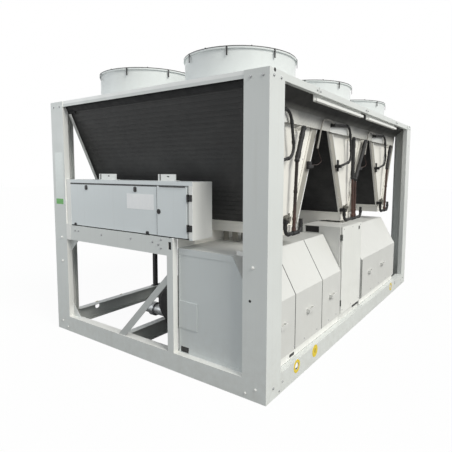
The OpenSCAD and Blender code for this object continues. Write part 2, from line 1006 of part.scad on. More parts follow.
module cabinet_hinges() {
    leaf_sheet = 6;
    color("#565b5a")
        for (level = cabinet_levels)
            translate([cabinet_axis_x, cabinet_axis_y, level - hinge_tall / 2]) {
                hinge_fixed();
                for (low = [0, hinge_tall - end_knuckle])
                    translate([cabinet_face - cabinet_axis_x, -leaf_sheet / 2, low])
                        cube([cabinet_axis_x - cabinet_face, leaf_sheet, end_knuckle]);
            }
}

module cabinet_door() {
    door_start = cabinet_axis_y + hinge_knuckle + hinge_side_gap;
    door_face = cabinet_axis_x;
    color("#e3e5df")
        difference() {
            union() {
                translate([door_face - door_thickness, door_start, panel_foot])
                    cube([door_thickness, cabinet_end - door_start, cabinet_top - panel_foot]);
                for (level = cabinet_levels)
                    translate([cabinet_axis_x, cabinet_axis_y, level - knuckle_tall / 2]) {
                        cylinder(r = hinge_knuckle, h = knuckle_tall);
                        translate([-hinge_leaf, 0, 0])
                            cube([hinge_leaf, 2 * hinge_knuckle + hinge_side_gap, knuckle_tall]);
                    }
            }
            for (level = cabinet_levels)
                translate([cabinet_axis_x, cabinet_axis_y, level - knuckle_tall])
                    cylinder(r = hinge_pin + pin_clearance, h = 2 * knuckle_tall);
        }
}

control_door_foot = control_beam_top + control_margin;
control_door_top = control_top - control_band;

module control_box() {
    pocket_depth = 150;
    pocket_border = 20;
    color("#b9c0c0")
        difference() {
            union() {
                translate([control_left, control_face, control_beam_top])
                    cube([control_right - control_left, control_depth, control_height]);
                translate([control_left, control_face - door_thickness, control_door_top])
                    cube([control_right - control_left, door_thickness + 1, control_band]);
                translate([door_right + door_clearance + 2 * hinge_knuckle, control_face - door_thickness,
                        control_beam_top])
                    cube([control_right - door_right - door_clearance - 2 * hinge_knuckle, door_thickness + 1,
                        control_height - control_band + 1]);
            }
            translate([cover_right + pocket_border, control_face - 1, control_door_foot + pocket_border])
                cube([door_right - cover_right - 2 * pocket_border, pocket_depth + 1,
                    control_door_top - control_door_foot - 2 * pocket_border]);
        }
}

module control_cover() {
    color("#b4bcbd")
        translate([control_left, control_face - door_thickness, control_door_foot])
            cube([cover_right - control_left, door_thickness, control_door_top - control_door_foot - panel_seam]);
}

control_axis_x = door_right + hinge_knuckle + hinge_side_gap;
control_axis_y = control_face - door_clearance - door_thickness;
control_levels = [control_beam_top + 82, control_top - 112];

module control_hinges() {
    leaf_sheet = 6;
    color("#26282a")
        for (level = control_levels)
            translate([control_axis_x, control_axis_y, level - hinge_tall / 2]) {
                hinge_fixed();
                for (low = [0, hinge_tall - end_knuckle])
                    translate([-leaf_sheet / 2, 0, low])
                        cube([leaf_sheet, control_face - control_axis_y, end_knuckle]);
            }
}

module control_door() {
    door_left = cover_right + door_clearance;
    color("#b4bcbd")
        difference() {
            union() {
                translate([door_left, control_axis_y, control_door_foot])
                    cube([door_right - door_left, door_thickness,
                        control_door_top - control_door_foot - door_clearance]);
                for (level = control_levels)
                    translate([control_axis_x, control_axis_y, level - knuckle_tall / 2]) {
                        cylinder(r = hinge_knuckle, h = knuckle_tall);
                        translate([-2 * hinge_knuckle - hinge_side_gap, 0, 0])
                            cube([2 * hinge_knuckle + hinge_side_gap, hinge_leaf, knuckle_tall]);
                    }
            }
            for (level = control_levels)
                translate([control_axis_x, control_axis_y, level - knuckle_tall])
                    cylinder(r = hinge_pin + pin_clearance, h = 2 * knuckle_tall);
        }
}

// Slotted angle brackets on the control box, with an upright strap beside each
module control_brackets() {
    bracket_sheet = 4;
    bracket_height = 50;
    bracket_depth = 40;
    bracket_set = 120;
    slot_height = 8;
    slot_length = 26;
    slot_inset = 22;
    strap_width = 16;
    strap_gap = 24;
    spans = [[0.212, 0.351], [0.702, 0.811]];
    color("#aeb6b7")
        for (span = spans)
            translate([control_left + span[0] * control_width, control_face + bracket_set, control_top]) {
                length = (span[1] - span[0]) * control_width;
                difference() {
                    cube([length, bracket_sheet, bracket_height]);
                    translate([(length - slot_length) / 2, -1, bracket_height - slot_inset])
                        cube([slot_length, bracket_sheet + 2, slot_height]);
                }
                cube([length, bracket_depth, bracket_sheet]);
                translate([-strap_gap, 0, 0])
                    cube([strap_width, bracket_sheet, bracket_height]);
            }
}

socket_gap = 2;
socket_lap = 5;
socket_length = 24;
socket_wall = 2.5;
stub_wall = 4;
pipe_x = coil_reach + pipe_stand;

// Pipe through points in the plane of Y and Z, with round bends brazed into sockets
module pipe_run(points, radius, bend) {
    last = len(points) - 1;
    for (i = [0 : last - 1]) {
        run = points[i + 1] - points[i];
        span = norm(run);
        along = run / span;
        cut_start = i == 0 ? 0 : bend_cut(points[i - 1], points[i], points[i + 1], bend) + socket_gap;
        cut_end = i == last - 1 ? 0 : bend_cut(points[i], points[i + 1], points[i + 2], bend) + socket_gap;
        begin = points[i] + along * cut_start;
        translate([0, begin[0], begin[1]])
            rotate([-atan2(along[0], along[1]), 0, 0]) {
                cylinder(r = radius, h = span - cut_start - cut_end);
                if (i > 0)
                    translate([0, 0, -socket_gap - socket_lap])
                        cylinder(r = radius + socket_wall, h = socket_length);
                if (i < last - 1)
                    translate([0, 0, span - cut_start - cut_end + socket_gap + socket_lap - socket_length])
                        cylinder(r = radius + socket_wall, h = socket_length);
            }
    }
    for (i = [1 : 1 : last - 1])
        pipe_elbow(points[i - 1], points[i], points[i + 1], radius, bend);
}

// Length that a bend takes from each of its two straight runs
function bend_cut(a, b, c, bend) = bend * tan(turn_angle(a, b, c) / 2);
function turn_angle(a, b, c) = acos(((b - a) * (c - b)) / (norm(b - a) * norm(c - b)));
function turn_side(a, b, c) = (b[0] - a[0]) * (c[1] - b[1]) - (b[1] - a[1]) * (c[0] - b[0]) > 0 ? 1 : -1;

// One round bend in the plane of Y and Z
module pipe_elbow(a, b, c, radius, bend) {
    inward = (b - a) / norm(b - a);
    side = turn_side(a, b, c);
    normal = [-inward[1], inward[0]] * side;
    begin = b - inward * bend_cut(a, b, c, bend);
    centre = begin + normal * bend;
    start_angle = atan2(-normal[1], -normal[0]);
    sweep = turn_angle(a, b, c);
    translate([0, centre[0], centre[1]])
        rotate([90, 0, 90])
            rotate([0, 0, side > 0 ? start_angle : start_angle - sweep])
                rotate_extrude(angle = sweep)
                    translate([bend, 0])
                        circle(r = radius);
}

// Stub that carries a pipe, from a face out to the plane of the pipes
module pipe_stub(place, level, radius, face) {
    translate([face, place, level])
        rotate([0, 90, 0])
            cylinder(r = radius + stub_wall, h = pipe_x + radius + stub_wall - face);
}

// Middle line of a coil end, at a height
function coil_middle(level) = coil_line(level) - coil_depth / 2;

// Height that is a share of the coil height above the trays
function coil_level(share) = tray_top + share * coil_height;

loop_high = coil_level(0.846);
loop_low = coil_level(0.475);
riser_high = coil_level(0.76);
header_level = tray_foot + 10;
panel_plane = coil_reach - end_panel_inset;

// Risers, each with its bay, the face that its top leaves, its top, its knee and the place of its foot
riser_paths = [
    [-bay_pitch, panel_plane, [0.92 * coil_foot, riser_high], [0.27 * coil_foot, coil_level(0.507)],
        0.03 * coil_foot],
    [0, panel_plane, [0.29 * coil_foot, riser_high], [0.3 * coil_foot, coil_level(0.364)], 0.5 * coil_foot],
    [0, coil_reach, [0.95 * coil_middle(riser_high), riser_high], [0.84 * coil_foot, coil_level(0.348)],
        0.85 * coil_foot],
    [bay_pitch, panel_plane, [1.21 * coil_foot, riser_high], [0.44 * coil_foot, coil_level(0.48)],
        0.09 * coil_foot],
];
knee_round = 2;
tee_length = 40;

// One loop from the top of the front coil of a bay down to its middle
module gas_loop() {
    loop_rise = 28;
    loop_top = -70;
    loop_end = 2;
    pipe_stub(-coil_middle(loop_high), loop_high, loop_radius, coil_reach);
    pipe_stub(-coil_middle(loop_low), loop_low, loop_radius, coil_reach);
    translate([pipe_x, 0, 0])
        pipe_run([
            [-coil_middle(loop_high), loop_high],
            [loop_top, loop_high + loop_rise],
            [loop_end, loop_low + 2 * loop_rise],
            [-coil_middle(loop_low), loop_low],
        ], loop_radius, pipe_bend);
}

// Round end of a sleeve
module sleeve_end(place) {
    translate([pipe_x, place[0], place[1]])
        sphere(r = sleeve_radius + knee_round);
}

// Insulated upper half of one riser
module riser_sleeve(path) {
    pipe_stub(path[2][0], path[2][1], riser_radius, path[1]);
    sleeve_end(path[2]);
    translate([pipe_x, 0, 0])
        pipe_run([path[2], path[3]], sleeve_radius, pipe_bend);
    sleeve_end(path[3]);
}

// Fitting of a riser on its header
module riser_tee(place) {
    translate([pipe_x, place - tee_length / 2, header_level])
        rotate([-90, 0, 0])
            cylinder(r = header_radius + stub_wall, h = tee_length);
}

// Header at the foot of a bay, bent up at both ends
module pipe_header(left, right) {
    translate([pipe_x, 0, 0])
        pipe_run([left, [left[0], header_level], [right[0], header_level], right], header_radius, foot_bend);
    pipe_stub(left[0], left[1], header_radius, coil_reach);
}

module gas_loops() {
    header_high = tray_top + 42;
    header_lefts = [-0.83 * coil_foot, -1.03 * coil_foot, -1.07 * coil_foot];
    header_rights = [0.81 * coil_foot, 2.12 * coil_foot, 0.97 * coil_foot];
    color("#1d1e1f") {
        for (bay = bays)
            translate([0, bay, 0])
                gas_loop();
        for (path = riser_paths)
            translate([0, path[0], 0])
                riser_sleeve(path);
        for (i = [0 : 2])
            translate([0, bays[i], 0]) {
                pipe_header([header_lefts[i], header_high], [header_rights[i], header_high]);
                for (path = riser_paths)
                    if (path[0] == bays[i])
                        riser_tee(path[4]);
            }
    }
}

// Bare lower halves of the risers, between the sleeves and the headers
module risers() {
    color("#7a4a34")
        for (path = riser_paths)
            translate([0, path[0], 0])
                difference() {
                    translate([pipe_x, 0, 0])
                        pipe_run([path[3], [path[4], header_level]], riser_radius, pipe_bend);
                    sleeve_end(path[3]);
                    riser_tee(path[4]);
                }
}

vessel_start = -half_length + vessel_front;
vessel_length = body_length - vessel_front - vessel_rear;
flange_sheet = 25;
head_length = 100;

// One flanged water head, its face on the origin and its dome along +Z
module vessel_head() {
    flange_reach = 25;
    dome_length = 24;
    dome_share = 0.72;
    cylinder(r = vessel_radius + flange_reach, h = flange_sheet);
    cylinder(r = vessel_radius, h = flange_sheet + head_length);
    translate([0, 0, flange_sheet + head_length])
        cylinder(r1 = vessel_radius, r2 = dome_share * vessel_radius, h = dome_length);
}

module evaporator() {
    color("#1f2122")
        translate([vessel_place, vessel_start, vessel_level])
            rotate([-90, 0, 0]) {
                cylinder(r = vessel_radius, h = vessel_length);
                translate([0, 0, vessel_length])
                    vessel_head();
                mirror([0, 0, 1])
                    vessel_head();
            }
}

module evaporator_saddles() {
    saddle_width = 300;
    color("#c9cfce")
        for (end = sides)
            difference() {
                translate([vessel_place - saddle_width / 2, end * cross_pitch - beam_width / 2, base_rail_height])
                    cube([saddle_width, beam_width, vessel_level - base_rail_height - vessel_radius / 2]);
                translate([vessel_place, end * cross_pitch - beam_width, vessel_level])
                    rotate([-90, 0, 0])
                        cylinder(r = vessel_radius, h = 2 * beam_width);
            }
}

// Water pipes out of the two heads, each with a coupling ring
module water_pipes() {
    water_drop = 110;
    head_middle = flange_sheet + head_length / 2;
    water_places = [vessel_start - head_middle, vessel_start + vessel_length + head_middle];
    ring_wall = 14;
    ring_length = 46;
    ring_place = 70;
    color("#8d9292")
        for (place = water_places)
            difference() {
                translate([-water_reach, place, vessel_level - water_drop])
                    rotate([0, 90, 0]) {
                        cylinder(r = water_radius, h = water_reach + vessel_place);
                        translate([0, 0, ring_place])
                            cylinder(r = water_radius + ring_wall, h = ring_length);
                    }
                translate([vessel_place, place - 2 * water_radius, vessel_level])
                    rotate([-90, 0, 0])
                        cylinder(r = vessel_radius, h = 4 * water_radius);
            }
}

corner_posts();
base_end_rails();
base_side_rails();
base_inner_beams();
base_cross_beams();
top_end_rails();
top_side_rails();
side_lintels();
mid_posts();
mid_beams();
diagonal_braces();
left_mid_rail();
left_props();
corner_gussets();
plenum_skirts();
coil_trays();
tray_feet();
tray_wall();
coil_frames(-bay_pitch);  // coil_frames_1
coil_frames(0);  // coil_frames_2
coil_frames(bay_pitch);  // coil_frames_3
coil_cores(-bay_pitch);  // coil_cores_1
coil_cores(0);  // coil_cores_2
coil_cores(bay_pitch);  // coil_cores_3
end_panels_right();
end_panels_left();
fan_decks();
deck_ledges();
fan_stacks();
fan_motors();
fan_rotors();
fan_guards();
front_enclosure();
front_panels();
front_end_panel();
rear_enclosure();
rear_panels();
panel_handles();
cabinet();
cabinet_hinges();
cabinet_door();
control_box();
control_cover();
control_hinges();
control_door();
control_brackets();
gas_loops();
risers();
evaporator();
evaporator_saddles();
water_pipes();
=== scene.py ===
"""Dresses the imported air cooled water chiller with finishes, fixings and small parts, on a plain stage."""

import json
import math

import bmesh
import bpy
from mathutils import Matrix, Vector


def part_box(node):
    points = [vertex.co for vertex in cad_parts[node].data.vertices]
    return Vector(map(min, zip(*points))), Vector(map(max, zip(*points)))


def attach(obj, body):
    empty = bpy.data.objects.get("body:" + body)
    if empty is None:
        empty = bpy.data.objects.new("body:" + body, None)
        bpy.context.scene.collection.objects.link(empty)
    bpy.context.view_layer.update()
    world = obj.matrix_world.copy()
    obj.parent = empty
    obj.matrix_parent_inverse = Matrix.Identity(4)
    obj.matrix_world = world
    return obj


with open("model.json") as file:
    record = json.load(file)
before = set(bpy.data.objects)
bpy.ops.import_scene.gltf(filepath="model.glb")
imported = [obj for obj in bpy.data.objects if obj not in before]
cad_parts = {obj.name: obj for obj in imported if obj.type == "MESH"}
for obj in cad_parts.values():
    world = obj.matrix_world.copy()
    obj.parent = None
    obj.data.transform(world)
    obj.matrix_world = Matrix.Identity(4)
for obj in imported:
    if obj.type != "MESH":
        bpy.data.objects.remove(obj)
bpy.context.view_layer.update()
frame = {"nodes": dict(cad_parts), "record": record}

bl_info = {
    "name": "Water chiller dresser",
    "version": (1, 0, 0),
    "blender": (4, 5, 0),
    "location": "View3D > Sidebar > Chiller",
    "description": "Adds finishes, fixings and small parts to the packed chiller and sets the stage",
    "category": "Object",
}

UP = Vector((0, 0, 1))
RIGHT = Vector((1, 0, 0))
LEFT = Vector((-1, 0, 0))
FRONT = Vector((0, -1, 0))
BACK = Vector((0, 1, 0))
# Bay, head, knee and foot of each riser, along the machine and up, in metres, and the level of the feet
RISERS = ((-1.2, (0.138, 1.7755), (0.0405, 1.5356), 0.0045), (0.0, (0.0435, 1.7755), (0.045, 1.4001), 0.075),
          (0.0, (0.4039, 1.7755), (0.126, 1.3849), 0.1275), (1.2, (0.1815, 1.7755), (0.066, 1.5100), 0.0135))
RISER_FOOT = 1.0
# Coil bays along the machine, the two sides or ends of it, and the joints of the top side rails
BAYS = (-1.2, 0.0, 1.2)
SIDES = (-1, 1)
RAIL_JOINTS = (-1.1, 0.0, 1.1)
# Levels of a coil's foot and top, and half the width of a V at each
COIL_LOW, COIL_HIGH = 1.055, 2.003
V_LOW, V_HIGH = 0.150, 0.570
# Fan middles across the machine, and the ring of screws round a stack
FAN_X, STACK_RING = 0.505, 0.439
# Middle of the evaporator's shell, across and up
VESSEL_X, VESSEL_Z = 0.05, 0.36
# Level of the lifting holes, and the middle and hinge levels of the control box's door
LIFT_LEVEL = 0.092
CONTROL_MIDDLE = 1.166
CONTROL_HINGES = (1.057, 1.266)
# Thickness and edge of a thin strip that is stuck on
STRIP, STRIP_EDGE = 0.0008, 0.0002
# Least part of a face's normal along an axis that counts as facing that way
FACING = 0.9
# Least part of a direction along up at which another up direction is taken
STEEP = 0.95
# Angles from which the edges of rounded nodes and of rounded pieces stay sharp
NODE_EDGE, PIECE_EDGE = math.radians(30), math.radians(35)
FRAME_COLOUR = (0.715, 0.74, 0.725)
DUST_COLOUR = (0.45, 0.43, 0.38)
COAT_GLOSS = 0.42
# Level above which the top end rails get a pale painted highlight along their top edge, and the colour of
# that highlight
PAINTED_HIGHLIGHT_ABOVE, PAINTED_HIGHLIGHT_COLOUR = 2.026, (0.95, 0.96, 0.945)
# Name, colour and gloss of each powder coat
PAINTS = (
    ("frame_paint", FRAME_COLOUR, COAT_GLOSS),
    ("panel_paint", (0.68, 0.685, 0.665), COAT_GLOSS),
    ("box_paint", (0.75, 0.795, 0.805), 0.36),
    ("coil_paint", (0.92, 0.905, 0.85), 0.46),
    ("roof_paint", (0.73, 0.76, 0.755), 0.4),
    ("gutter_white", (0.86, 0.865, 0.84), COAT_GLOSS),
    ("door_paint", (0.82, 0.83, 0.80), COAT_GLOSS),
    ("end_paint", (0.63, 0.665, 0.665), COAT_GLOSS),
    ("brace_paint", (0.54, 0.56, 0.55), COAT_GLOSS),
    ("bar_grey", (0.36, 0.345, 0.305), 0.5),
)
# Name, darker and lighter tone, gloss, grain, relief and metal share of each coated part
COATS = (
    ("black_steel", (0.018, 0.018, 0.019), (0.035, 0.035, 0.036), 0.45, 60.0, 0.08, 0.0),
    ("fan_plastic", (0.030, 0.032, 0.034), (0.05, 0.052, 0.054), 0.5, 40.0, 0.1, 0.0),
    ("hinge_black", (0.015, 0.015, 0.016), (0.03, 0.03, 0.03), 0.4, 90.0, 0.08, 0.0),
    ("pipe_insulation", (0.011, 0.011, 0.012), (0.024, 0.024, 0.025), 0.62, 90.0, 0.35, 0.0),
    ("gasket", (0.012, 0.012, 0.013), (0.024, 0.024, 0.025), 0.75, 50.0, 0.2, 0.0),
    ("hinge_grey", (0.085, 0.095, 0.085), (0.13, 0.14, 0.13), 0.5, 60.0, 0.08, 0.0),
    ("line_grey", (0.26, 0.25, 0.23), (0.36, 0.35, 0.32), 0.45, 60.0, 0.1, 0.2),
    ("valve_brass", (0.14, 0.135, 0.115), (0.33, 0.32, 0.285), 0.45, 50.0, 0.2, 0.3),
)
# Name and two tones of each blank label
LABELS = (
    ("marker_yellow", (0.78, 0.58, 0.03), (0.86, 0.66, 0.07)),
    ("label_green", (0.16, 0.46, 0.13), (0.20, 0.52, 0.17)),
    ("blank_white", (0.93, 0.94, 0.95), (0.97, 0.98, 0.98)),
    ("label_pale", (0.755, 0.80, 0.78), (0.80, 0.84, 0.82)),
)
# Nodes that differ from their slot's finish
OTHER_FINISHES = (
    ("side_lintels", "gutter_white"), ("control_brackets", "gutter_white"), ("cabinet_door", "door_paint"),
    ("front_end_panel", "end_paint"), ("diagonal_braces", "brace_paint"), ("cabinet_hinges", "hinge_grey"),
    ("top_end_rails", "rail_paint"),
)
# Nodes that are shaded as round
ROUNDED = ("fan_stacks", "fan_motors", "gas_loops", "risers", "evaporator", "water_pipes", "fan_rotors")


class Mesher:
    """Collects small solids into one mesh, each placed by a point, an outward normal and an up direction."""

    def __init__(self):
        self.bm = bmesh.new()

    def basis(self, point, normal, up=UP):
        """Matrix with local Z along the normal and local Y close to up."""
        z = Vector(normal).normalized()
        if abs(z.dot(up)) > STEEP:
            up = BACK
        x = Vector(up).cross(z).normalized()
        y = z.cross(x)
        place = Matrix((x, y, z)).transposed().to_4x4()
        place.translation = Vector(point)
        return place

    def loft(self, place, rings):
        """Closed solid through rings of local points, capped at both ends."""
        made = [[self.bm.verts.new(place @ Vector(p)) for p in ring] for ring in rings]
        count = len(made[0])
        for low, high in zip(made, made[1:]):
            for i in range(count):
                j = (i + 1) % count
                self.bm.faces.new((low[i], low[j], high[j], high[i]))
        self.bm.faces.new(tuple(reversed(made[0])))
        self.bm.faces.new(tuple(made[-1]))

    def plate(self, point, normal, width, height, thick, edge=0.0, up=UP, corner=0.0):
        """Flat plate with a chamfered outer edge and, if asked, cut corners."""
        place = self.basis(point, normal, up)

        def outline(inset, level):
            w, h = width / 2 - inset, height / 2 - inset
            c = max(corner - inset * 0.4, 0.0)
            if corner <= 0:
                return [(-w, -h, level), (w, -h, level), (w, h, level), (-w, h, level)]
            return [(-w + c, -h, level), (w - c, -h, level), (w, -h + c, level), (w, h - c, level),
                    (w - c, h, level), (-w + c, h, level), (-w, h - c, level), (-w, -h + c, level)]

        rings = [outline(0, 0), outline(0, thick - edge), outline(edge, thick)] if edge else \
            [outline(0, 0), outline(0, thick)]
        self.loft(place, rings)

    def turned(self, point, normal, profile, steps):
        """Solid of revolution about the normal through (radius, level) pairs."""
        place = self.basis(point, normal)
        rings = []
        for radius, level in profile:
            rings.append([(radius * math.cos(a), radius * math.sin(a), level)
                          for a in (math.tau * i / steps for i in range(steps))])
        self.loft(place, rings)

    def bolt(self, point, normal, size):
        """Hexagon head with a chamfer, on a washer."""
        thick = size * 0.2
        washer = [(size * 1.05, 0), (size * 1.05, size * 0.16), (size * 0.98, thick)]
        hexagon = [(size * 0.8, 0), (size * 0.8, size * 0.45), (size * 0.66, size * 0.56)]
        self.turned(point, normal, washer, 16)
        self.turned(Vector(point) + Vector(normal).normalized() * thick, normal, hexagon, 6)

    def screw(self, point, normal, size):
        """Low round screw head."""
        profile = [(size, 0), (size, size * 0.25), (size * 0.75, size * 0.5), (size * 0.3, size * 0.6)]
        self.turned(point, normal, profile, 12)

    def band(self, point, normal, inner, outer, length, steps, edge):
        """Open ring about the normal, such as a clamp, a collar or a flat marker ring."""
        place = self.basis(point, normal)
        section = [(inner, 0), (outer, 0), (outer, length - edge), (outer - edge, length), (inner, length)]
        rows = []
        for i in range(steps):
            a = math.tau * i / steps
            points = [Vector((r * math.cos(a), r * math.sin(a), h)) for r, h in section]
            rows.append([self.bm.verts.new(place @ point) for point in points])
        for i in range(steps):
            low, high = rows[i], rows[(i + 1) % steps]
            for k in range(len(section)):
                n = (k + 1) % len(section)
                self.bm.faces.new((low[k], high[k], high[n], low[n]))

    def tube(self, points, radius, steps):
        """Round bar through points, with flat ends."""
        points = [Vector(p) for p in points]
        rings = []
        side = None
        for i, p in enumerate(points):
            ahead = (points[min(i + 1, len(points) - 1)] - points[max(i - 1, 0)]).normalized()
            if side is None:
                side = ahead.cross(UP if abs(ahead.z) < FACING else RIGHT).normalized()
            side = (side - ahead * side.dot(ahead)).normalized()
            other = ahead.cross(side)
            rings.append([p + (side * math.cos(a) + other * math.sin(a)) * radius
                          for a in (math.tau * k / steps for k in range(steps))])
        self.loft(Matrix.Identity(4), rings)

    def hose(self, points, radius, steps=8, parts=8):
        """Round bar along a smooth curve through points, each stretch of it in some parts."""
        knots = [Vector(p) for p in points]
        knots = [knots[0] * 2 - knots[1], *knots, knots[-1] * 2 - knots[-2]]
        path = []
        for a, b, c, d in zip(knots, knots[1:], knots[2:], knots[3:]):
            for i in range(parts):
                t = i / parts
                path.append(((b * 2) + (c - a) * t + (a * 2 - b * 5 + c * 4 - d) * t * t
                             + (b * 3 - a - c * 3 + d) * t * t * t) / 2)
        self.tube(path + [knots[-2]], radius, steps)

    def extrude(self, outline, start, end):
        """Solid between a closed outline of points moved to start and the same outline moved to end."""
        low = [Vector(p) + Vector(start) for p in outline]
        high = [Vector(p) + Vector(end) for p in outline]
        self.loft(Matrix.Identity(4), [low, high])

    def finish(self, name, material, body, slot, smooth=False):
        """Turns what was collected into one object that rides on a body."""
        bmesh.ops.recalc_face_normals(self.bm, faces=self.bm.faces[:])
        mesh = bpy.data.meshes.new(name)
        self.bm.to_mesh(mesh)
        self.bm.free()
        if smooth:
            mesh.polygons.foreach_set("use_smooth", [True] * len(mesh.polygons))
            mesh.set_sharp_from_angle(angle=PIECE_EDGE)
        piece = bpy.data.objects.new(name, mesh)
        bpy.context.scene.collection.objects.link(piece)
        mesh.materials.append(material)
        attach(piece, body)
        return piece


class Shader:
    """Small helper that builds a node material on object coordinates, which are metres here."""

    def __init__(self, name):
        self.material = bpy.data.materials.new(name)
        self.material.use_nodes = True
        self.tree = self.material.node_tree
        self.tree.nodes.clear()
        self.output = self.add("ShaderNodeOutputMaterial")
        self.bsdf = self.add("ShaderNodeBsdfPrincipled")
        self.link(self.bsdf.outputs["BSDF"], self.output.inputs["Surface"])
        self.coords = self.add("ShaderNodeTexCoord").outputs["Object"]

    def add(self, kind, **values):
        node = self.tree.nodes.new(kind)
        for key, value in values.items():
            setattr(node, key, value)
        return node

    def link(self, source, target):
        self.tree.links.new(source, target)

    def stretched(self, scale):
        node = self.add("ShaderNodeMapping")
        node.inputs["Scale"].default_value = scale
        self.link(self.coords, node.inputs["Vector"])
        return node.outputs["Vector"]

    def noise(self, scale, detail=2.0, rough=0.5, vector=None):
        node = self.add("ShaderNodeTexNoise")
        node.inputs["Scale"].default_value = scale
        node.inputs["Detail"].default_value = detail
        node.inputs["Roughness"].default_value = rough
        self.link(vector or self.coords, node.inputs["Vector"])
        return node.outputs["Fac"]

    def span(self, value, low, high, to_low, to_high):
        node = self.add("ShaderNodeMapRange")
        for key, number in (("From Min", low), ("From Max", high), ("To Min", to_low), ("To Max", to_high)):
            node.inputs[key].default_value = number
        self.link(value, node.inputs["Value"])
        return node.outputs["Result"]

    def times(self, a, b):
        node = self.add("ShaderNodeMath", operation="MULTIPLY")
        self.link(a, node.inputs[0])
        self.link(b, node.inputs[1])
        return node.outputs["Value"]

    def mix(self, factor, a, b):
        """Colour a where the factor is 0 and b where it is 1; each is a colour or a socket."""
        node = self.add("ShaderNodeMix", data_type="RGBA")
        self.link(factor, node.inputs["Factor"])
        for value, socket in ((a, node.inputs[6]), (b, node.inputs[7])):
            if isinstance(value, (tuple, list)):
                socket.default_value = (*value, 1.0)
            else:
                self.link(value, socket)
        return node.outputs[2]

    def along(self, axis):
        node = self.add("ShaderNodeSeparateXYZ")
        self.link(self.coords, node.inputs["Vector"])
        return node.outputs[axis]

    def bump(self, value, strength, distance):
        node = self.add("ShaderNodeBump")
        node.inputs["Strength"].default_value = strength
        node.inputs["Distance"].default_value = distance
        self.link(value, node.inputs["Height"])
        self.link(node.outputs["Normal"], self.bsdf.inputs["Normal"])

    def colour(self, socket):
        self.link(socket, self.bsdf.inputs["Base Color"])

    def rough(self, low, high, scale):
        self.link(self.span(self.noise(scale, 3.0), 0.3, 0.7, low, high), self.bsdf.inputs["Roughness"])


def tinted(colour, factor):
    return tuple(min(c * factor, 1.0) for c in colour)


def paint(name, colour, settings, gloss, highlight_above=None):
    """Powder coat: soft tone changes, faint rain streaks, dust towards the ground and a fine orange peel.

    A height above which the coat gets a pale painted highlight can be given."""
    s = Shader(name)
    tone = s.mix(s.span(s.noise(1.3, 3.0), 0.3, 0.7, 0.0, 1.0), tinted(colour, 0.965), tinted(colour, 1.03))
    streak = s.span(s.noise(1.0, 3.0, 0.6, s.stretched((34, 34, 1.1))), 0.56, 0.8, 0.0, settings.streaks)
    tone = s.mix(streak, tone, DUST_COLOUR)
    low = s.span(s.along("Z"), 0.0, settings.dust_height, 1.0, 0.0)
    spots = s.span(s.noise(16.0, 5.0, 0.65), 0.35, 0.75, 0.0, settings.dust)
    tone = s.mix(s.times(low, spots), tone, DUST_COLOUR)
    if highlight_above:
        # Painted highlight: the coat turns pale above the given height, for the lit top edge of the top end
        # rails
        pale = s.span(s.along("Z"), highlight_above - 0.004, highlight_above + 0.004, 0.0, 1.0)
        tone = s.mix(pale, tone, PAINTED_HIGHLIGHT_COLOUR)
    s.colour(tone)
    s.rough(gloss - 0.06, gloss + 0.1, 9.0)
    s.bump(s.noise(700.0, 2.0), settings.peel, 0.0006)
    s.bsdf.inputs["Specular IOR Level"].default_value = 0.4
    return s.material


def coated(name, colour, light, gloss, grain, bump, metal):
    """Dark coat, plastic or metal with a two tone grain and its own surface relief."""
    s = Shader(name)
    tone = s.mix(s.span(s.noise(grain, 4.0, 0.6), 0.3, 0.72, 0.0, 1.0), colour, light)
    scuff = s.span(s.noise(5.0, 5.0, 0.7), 0.6, 0.85, 0.0, 0.5)
    s.colour(s.mix(scuff, tone, tinted(light, 1.35)))
    s.rough(gloss - 0.08, gloss + 0.12, grain * 0.5)
    s.bump(s.noise(grain * 4, 3.0), bump, 0.001)
    s.bsdf.inputs["Metallic"].default_value = metal
    return s.material


def coil_finish(name):
    """Black coated fins: fine upright fin lines, uneven dust, and painted light that greys the coil faces
    nearest the front end.
    """
    s = Shader(name)
    fins = s.add("ShaderNodeTexWave", wave_type="BANDS", bands_direction="X", wave_profile="SIN")
    fins.inputs["Scale"].default_value = 42.0
    fins.inputs["Distortion"].default_value = 0.6
    fins.inputs["Detail Scale"].default_value = 3.0
    s.link(s.coords, fins.inputs["Vector"])
    tone = s.mix(fins.outputs["Fac"], (0.013, 0.013, 0.014), (0.034, 0.034, 0.035))
    dust = s.span(s.noise(6.0, 5.0, 0.65), 0.42, 0.8, 0.0, 0.3)
    tone = s.mix(dust, tone, (0.11, 0.108, 0.103))
    # Painted light: the coil faces nearest the front end are mixed towards a lighter grey
    s.colour(s.mix(s.span(s.along("Y"), -1.32, -1.1, 0.26, 0.0), tone, (0.12, 0.119, 0.117)))
    s.rough(0.42, 0.62, 14.0)
    s.bump(fins.outputs["Fac"], 0.25, 0.002)
    return s.material


def copper_finish(name):
    """Oxidised red brown copper, blackened upwards, with patchy darker heat marks."""
    s = Shader(name)
    grain = s.span(s.noise(26.0, 4.0, 0.6), 0.3, 0.7, 0.0, 1.0)
    tone = s.mix(grain, (0.062, 0.029, 0.023), (0.115, 0.055, 0.042))
    marks = s.span(s.noise(7.0, 4.0, 0.7), 0.5, 0.8, 0.0, 0.7)
    tone = s.mix(marks, tone, (0.035, 0.026, 0.023))
    black = s.times(s.span(s.along("Z"), 1.10, 1.24, 0.0, 1.0), s.span(s.along("Y"), -0.9, -0.5, 0.92, 0.35))
    s.colour(s.mix(black, tone, (0.017, 0.015, 0.014)))
    s.rough(0.38, 0.6, 30.0)
    s.bump(s.noise(240.0, 3.0), 0.2, 0.001)
    s.bsdf.inputs["Metallic"].default_value = 0.2
    return s.material


